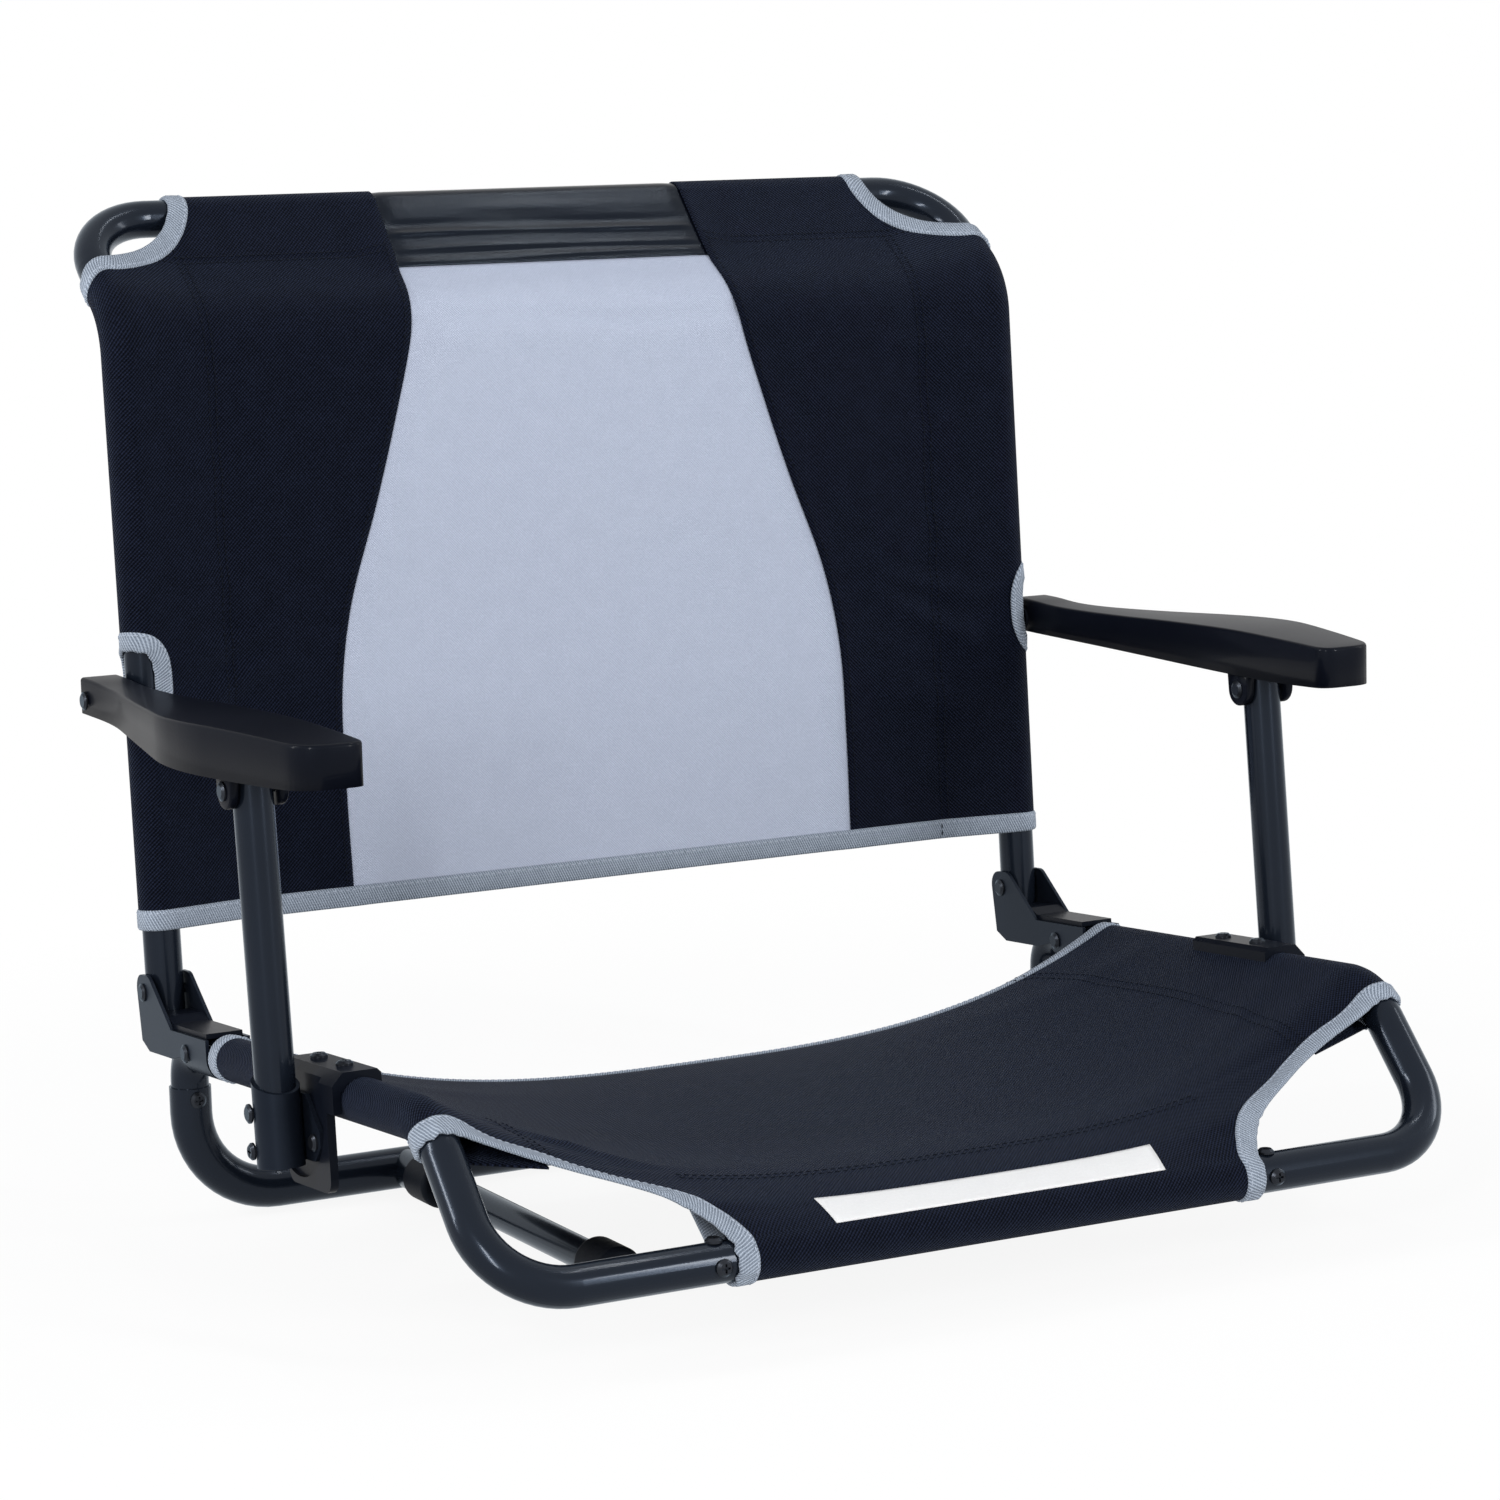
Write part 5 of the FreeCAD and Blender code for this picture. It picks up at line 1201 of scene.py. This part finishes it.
def arm_bar(bm):
    """The bar itself, in millimetres round the bolt."""
    base = bm.faces.new([bm.verts.new((x, y, 0)) for x, y in rounded(ARM_PLAN, ARM_ROUND)])
    raised = bmesh.ops.extrude_face_region(bm, geom=[base])["geom"]
    bmesh.ops.translate(bm, verts=moved(raised), vec=(0, 0, 1))
    for cut in np.arange(-288, 4, 6.0):
        bmesh.ops.bisect_plane(bm, geom=bm.verts[:] + bm.edges[:] + bm.faces[:], plane_co=(0, cut, 0),
                               plane_no=(0, 1, 0), dist=0.3)
    for vert in bm.verts:
        high = np.interp(vert.co.y, ARM_TOP[:, 0], ARM_TOP[:, 1])
        low = np.interp(vert.co.y, ARM_UNDER[:, 0], ARM_UNDER[:, 1])
        vert.co.z = low + (high - low) * vert.co.z
    fresh_normals(bm)
    under = [face for face in bm.faces if face.normal.z < -0.8 and -292 < face.calc_center_median().y < -14]
    bmesh.ops.inset_region(bm, faces=under, thickness=2.4, use_even_offset=True, use_boundary=True)
    pushed = bmesh.ops.extrude_face_region(bm, geom=under)["geom"]
    bmesh.ops.delete(bm, geom=under, context="FACES_ONLY")
    bmesh.ops.translate(bm, verts=moved(pushed), vec=(0, 0, 11))
    fresh_normals(bm)
    rim = [edge for edge in bm.edges if len(edge.link_faces) == 2 and edge.calc_face_angle(0) > 0.9
           and any(face.normal.z > 0.8 for face in edge.link_faces)
           and min(vert.co.z for vert in edge.verts) > 6.5]
    round_off(bm, rim, 4.2, 6)
    return len(rim)


print("armrest top rises to", round(float(ARM_TOP[:, 1].max()), 1), "mm above the bolt")

# %% Armrest ears and shells
EAR_Y, EAR_Z, EAR_R = -209.1, -19, 8.5


def arm_ear(bm, inside, outside):
    """One ear: a plate with a round lower end, round the pin at the head of the post."""
    turns = np.linspace(math.pi, 2 * math.pi, 15)
    outline = [(EAR_Y + EAR_R * math.cos(turn), EAR_Z + EAR_R * math.sin(turn)) for turn in turns]
    outline += [(-199.2, 1.5), (-219.0, 1.5)]
    plate = bm.faces.new([bm.verts.new((inside, y, z)) for y, z in outline])
    raised = bmesh.ops.extrude_face_region(bm, geom=[plate])["geom"]
    bmesh.ops.translate(bm, verts=moved(raised), vec=(outside - inside, 0, 0))
    round_edges = [edge for edge in {edge for vert in moved(raised) for edge in vert.link_edges}
                   if all(abs(vert.co.x - outside) < 0.01 and vert.co.z < -9 for vert in edge.verts)]
    round_off(bm, round_edges, 0.9, 3)


def arm_shell(side, sign):
    bm = bmesh.new()
    count = arm_bar(bm)
    arm_ear(bm, 16.0, 11.7)
    arm_ear(bm, 36.7, 40.8)
    bmesh.ops.translate(bm, verts=bm.verts, vec=ARM_BOLT)
    bmesh.ops.scale(bm, verts=bm.verts, vec=(sign * MM, MM, MM))
    fresh_normals(bm)
    piece = as_piece(bm, f"{side}_armrest_shell", finishes["arm_plastic"], f"{side}_arm")
    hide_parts(f"{side}_armrest")
    print(f"{piece.name}: {len(piece.data.polygons)} faces, {count} rim edges rounded")


for side, sign in SIDES:
    arm_shell(side, sign)

# %% [markdown]
# ## Stage and light
# The chair stands on a plain pale floor in soft studio light. The world is white to the camera and to
# reflections and gives a modest even light otherwise. The floor is mostly white to the camera as well,
# with a share of ordinary shading left in it so that the chair keeps a faint shadow. Tall strip lamps stand
# round the chair, because a round tube shows a strip as one long streak, and a narrow one hangs above.


# %% Floor
def white_to(tree):
    """One for the rays that should see plain white: from the camera, in gloss and through glass."""
    path = add_node(tree, "LightPath")
    return calc(tree, "MAXIMUM", path.outputs["Is Camera Ray"],
                calc(tree, "MAXIMUM", path.outputs["Is Glossy Ray"], path.outputs["Is Transmission Ray"]))


bm = bmesh.new()
bmesh.ops.create_grid(bm, x_segments=1, y_segments=1, size=4.0)
floor_mesh = mesh_of(bm, "floor")
floor = bpy.data.objects.new("floor", floor_mesh)
scene.collection.objects.link(floor)
floor_paint, tree, shader = new_finish("floor_paint")
spot = add_node(tree, "TexCoord").outputs["Object"]
dust = use_group(tree, grain, {"Place": spot, "Size": 0.02})
fill_in(tree, shader, {
    "Base Color": two_tone(tree, dust.outputs["Patches"], (0.84, 0.84, 0.84), (0.88, 0.88, 0.88)),
    "Roughness": 0.7, "Specular IOR Level": 0.1})
glow = add_node(tree, "Emission", {"Color": (1, 1, 1, 1), "Strength": 1.0})
away = add_node(tree, "VectorMath", {0: spot}, operation="LENGTH").outputs["Value"]
fade = add_node(tree, "MapRange", {
    "Value": away, "From Min": 0.35, "From Max": 0.95, "To Min": 0.9, "To Max": 1.0},
    interpolation_type="SMOOTHSTEP").outputs["Result"]
blend = add_node(tree, "MixShader", {0: calc(tree, "MULTIPLY", white_to(tree), fade),
                                     1: shader.outputs["BSDF"], 2: glow.outputs["Emission"]})
tree.links.new(blend.outputs[0], tree.nodes["Material Output"].inputs["Surface"])
floor_mesh.materials.append(floor_paint)
print("floor laid")

# %% World
world = scene.world or bpy.data.worlds.new("studio")
scene.world = world
world.use_nodes = True
tree = world.node_tree
tree.nodes.clear()
room = add_node(tree, "Background", {"Color": (0.95, 0.97, 1.0, 1), "Strength": 0.5})
white = add_node(tree, "Background", {"Color": (1, 1, 1, 1), "Strength": 1.0})
sky = add_node(tree, "MixShader", {0: white_to(tree), 1: room.outputs[0], 2: white.outputs[0]})
tree.links.new(sky.outputs[0], add_node(tree, "OutputWorld").inputs["Surface"])
print("world set")


# %% Lamps
def soft_lamp(name, place, aim, size, watts):
    lamp = bpy.data.lights.new(name, "AREA")
    lamp.shape = "RECTANGLE"
    lamp.size, lamp.size_y = size
    lamp.energy = watts
    holder = bpy.data.objects.new(name, lamp)
    scene.collection.objects.link(holder)
    holder.location = place
    holder.rotation_mode = "QUATERNION"
    holder.rotation_quaternion = (Vector(aim) - Vector(place)).to_track_quat("-Z", "Y")


for name, place, width, watts in (
        ("left_strip", (-1.75, -1.9, 1.1), 0.22, 30), ("right_strip", (1.15, -2.4, 1.1), 0.22, 34),
        ("left_side_strip", (-2.0, 0.3, 1.1), 0.2, 24), ("right_side_strip", (2.1, -0.6, 1.1), 0.3, 9)):
    soft_lamp(name, place, (0, 0, 0.3), (width, 1.25), watts)
soft_lamp("top_lamp", (0.87, 0.1, 2.3), (0.1, 0.1, 0.3), (0.9, 0.03), 3)
scene.view_settings.view_transform = "Standard"
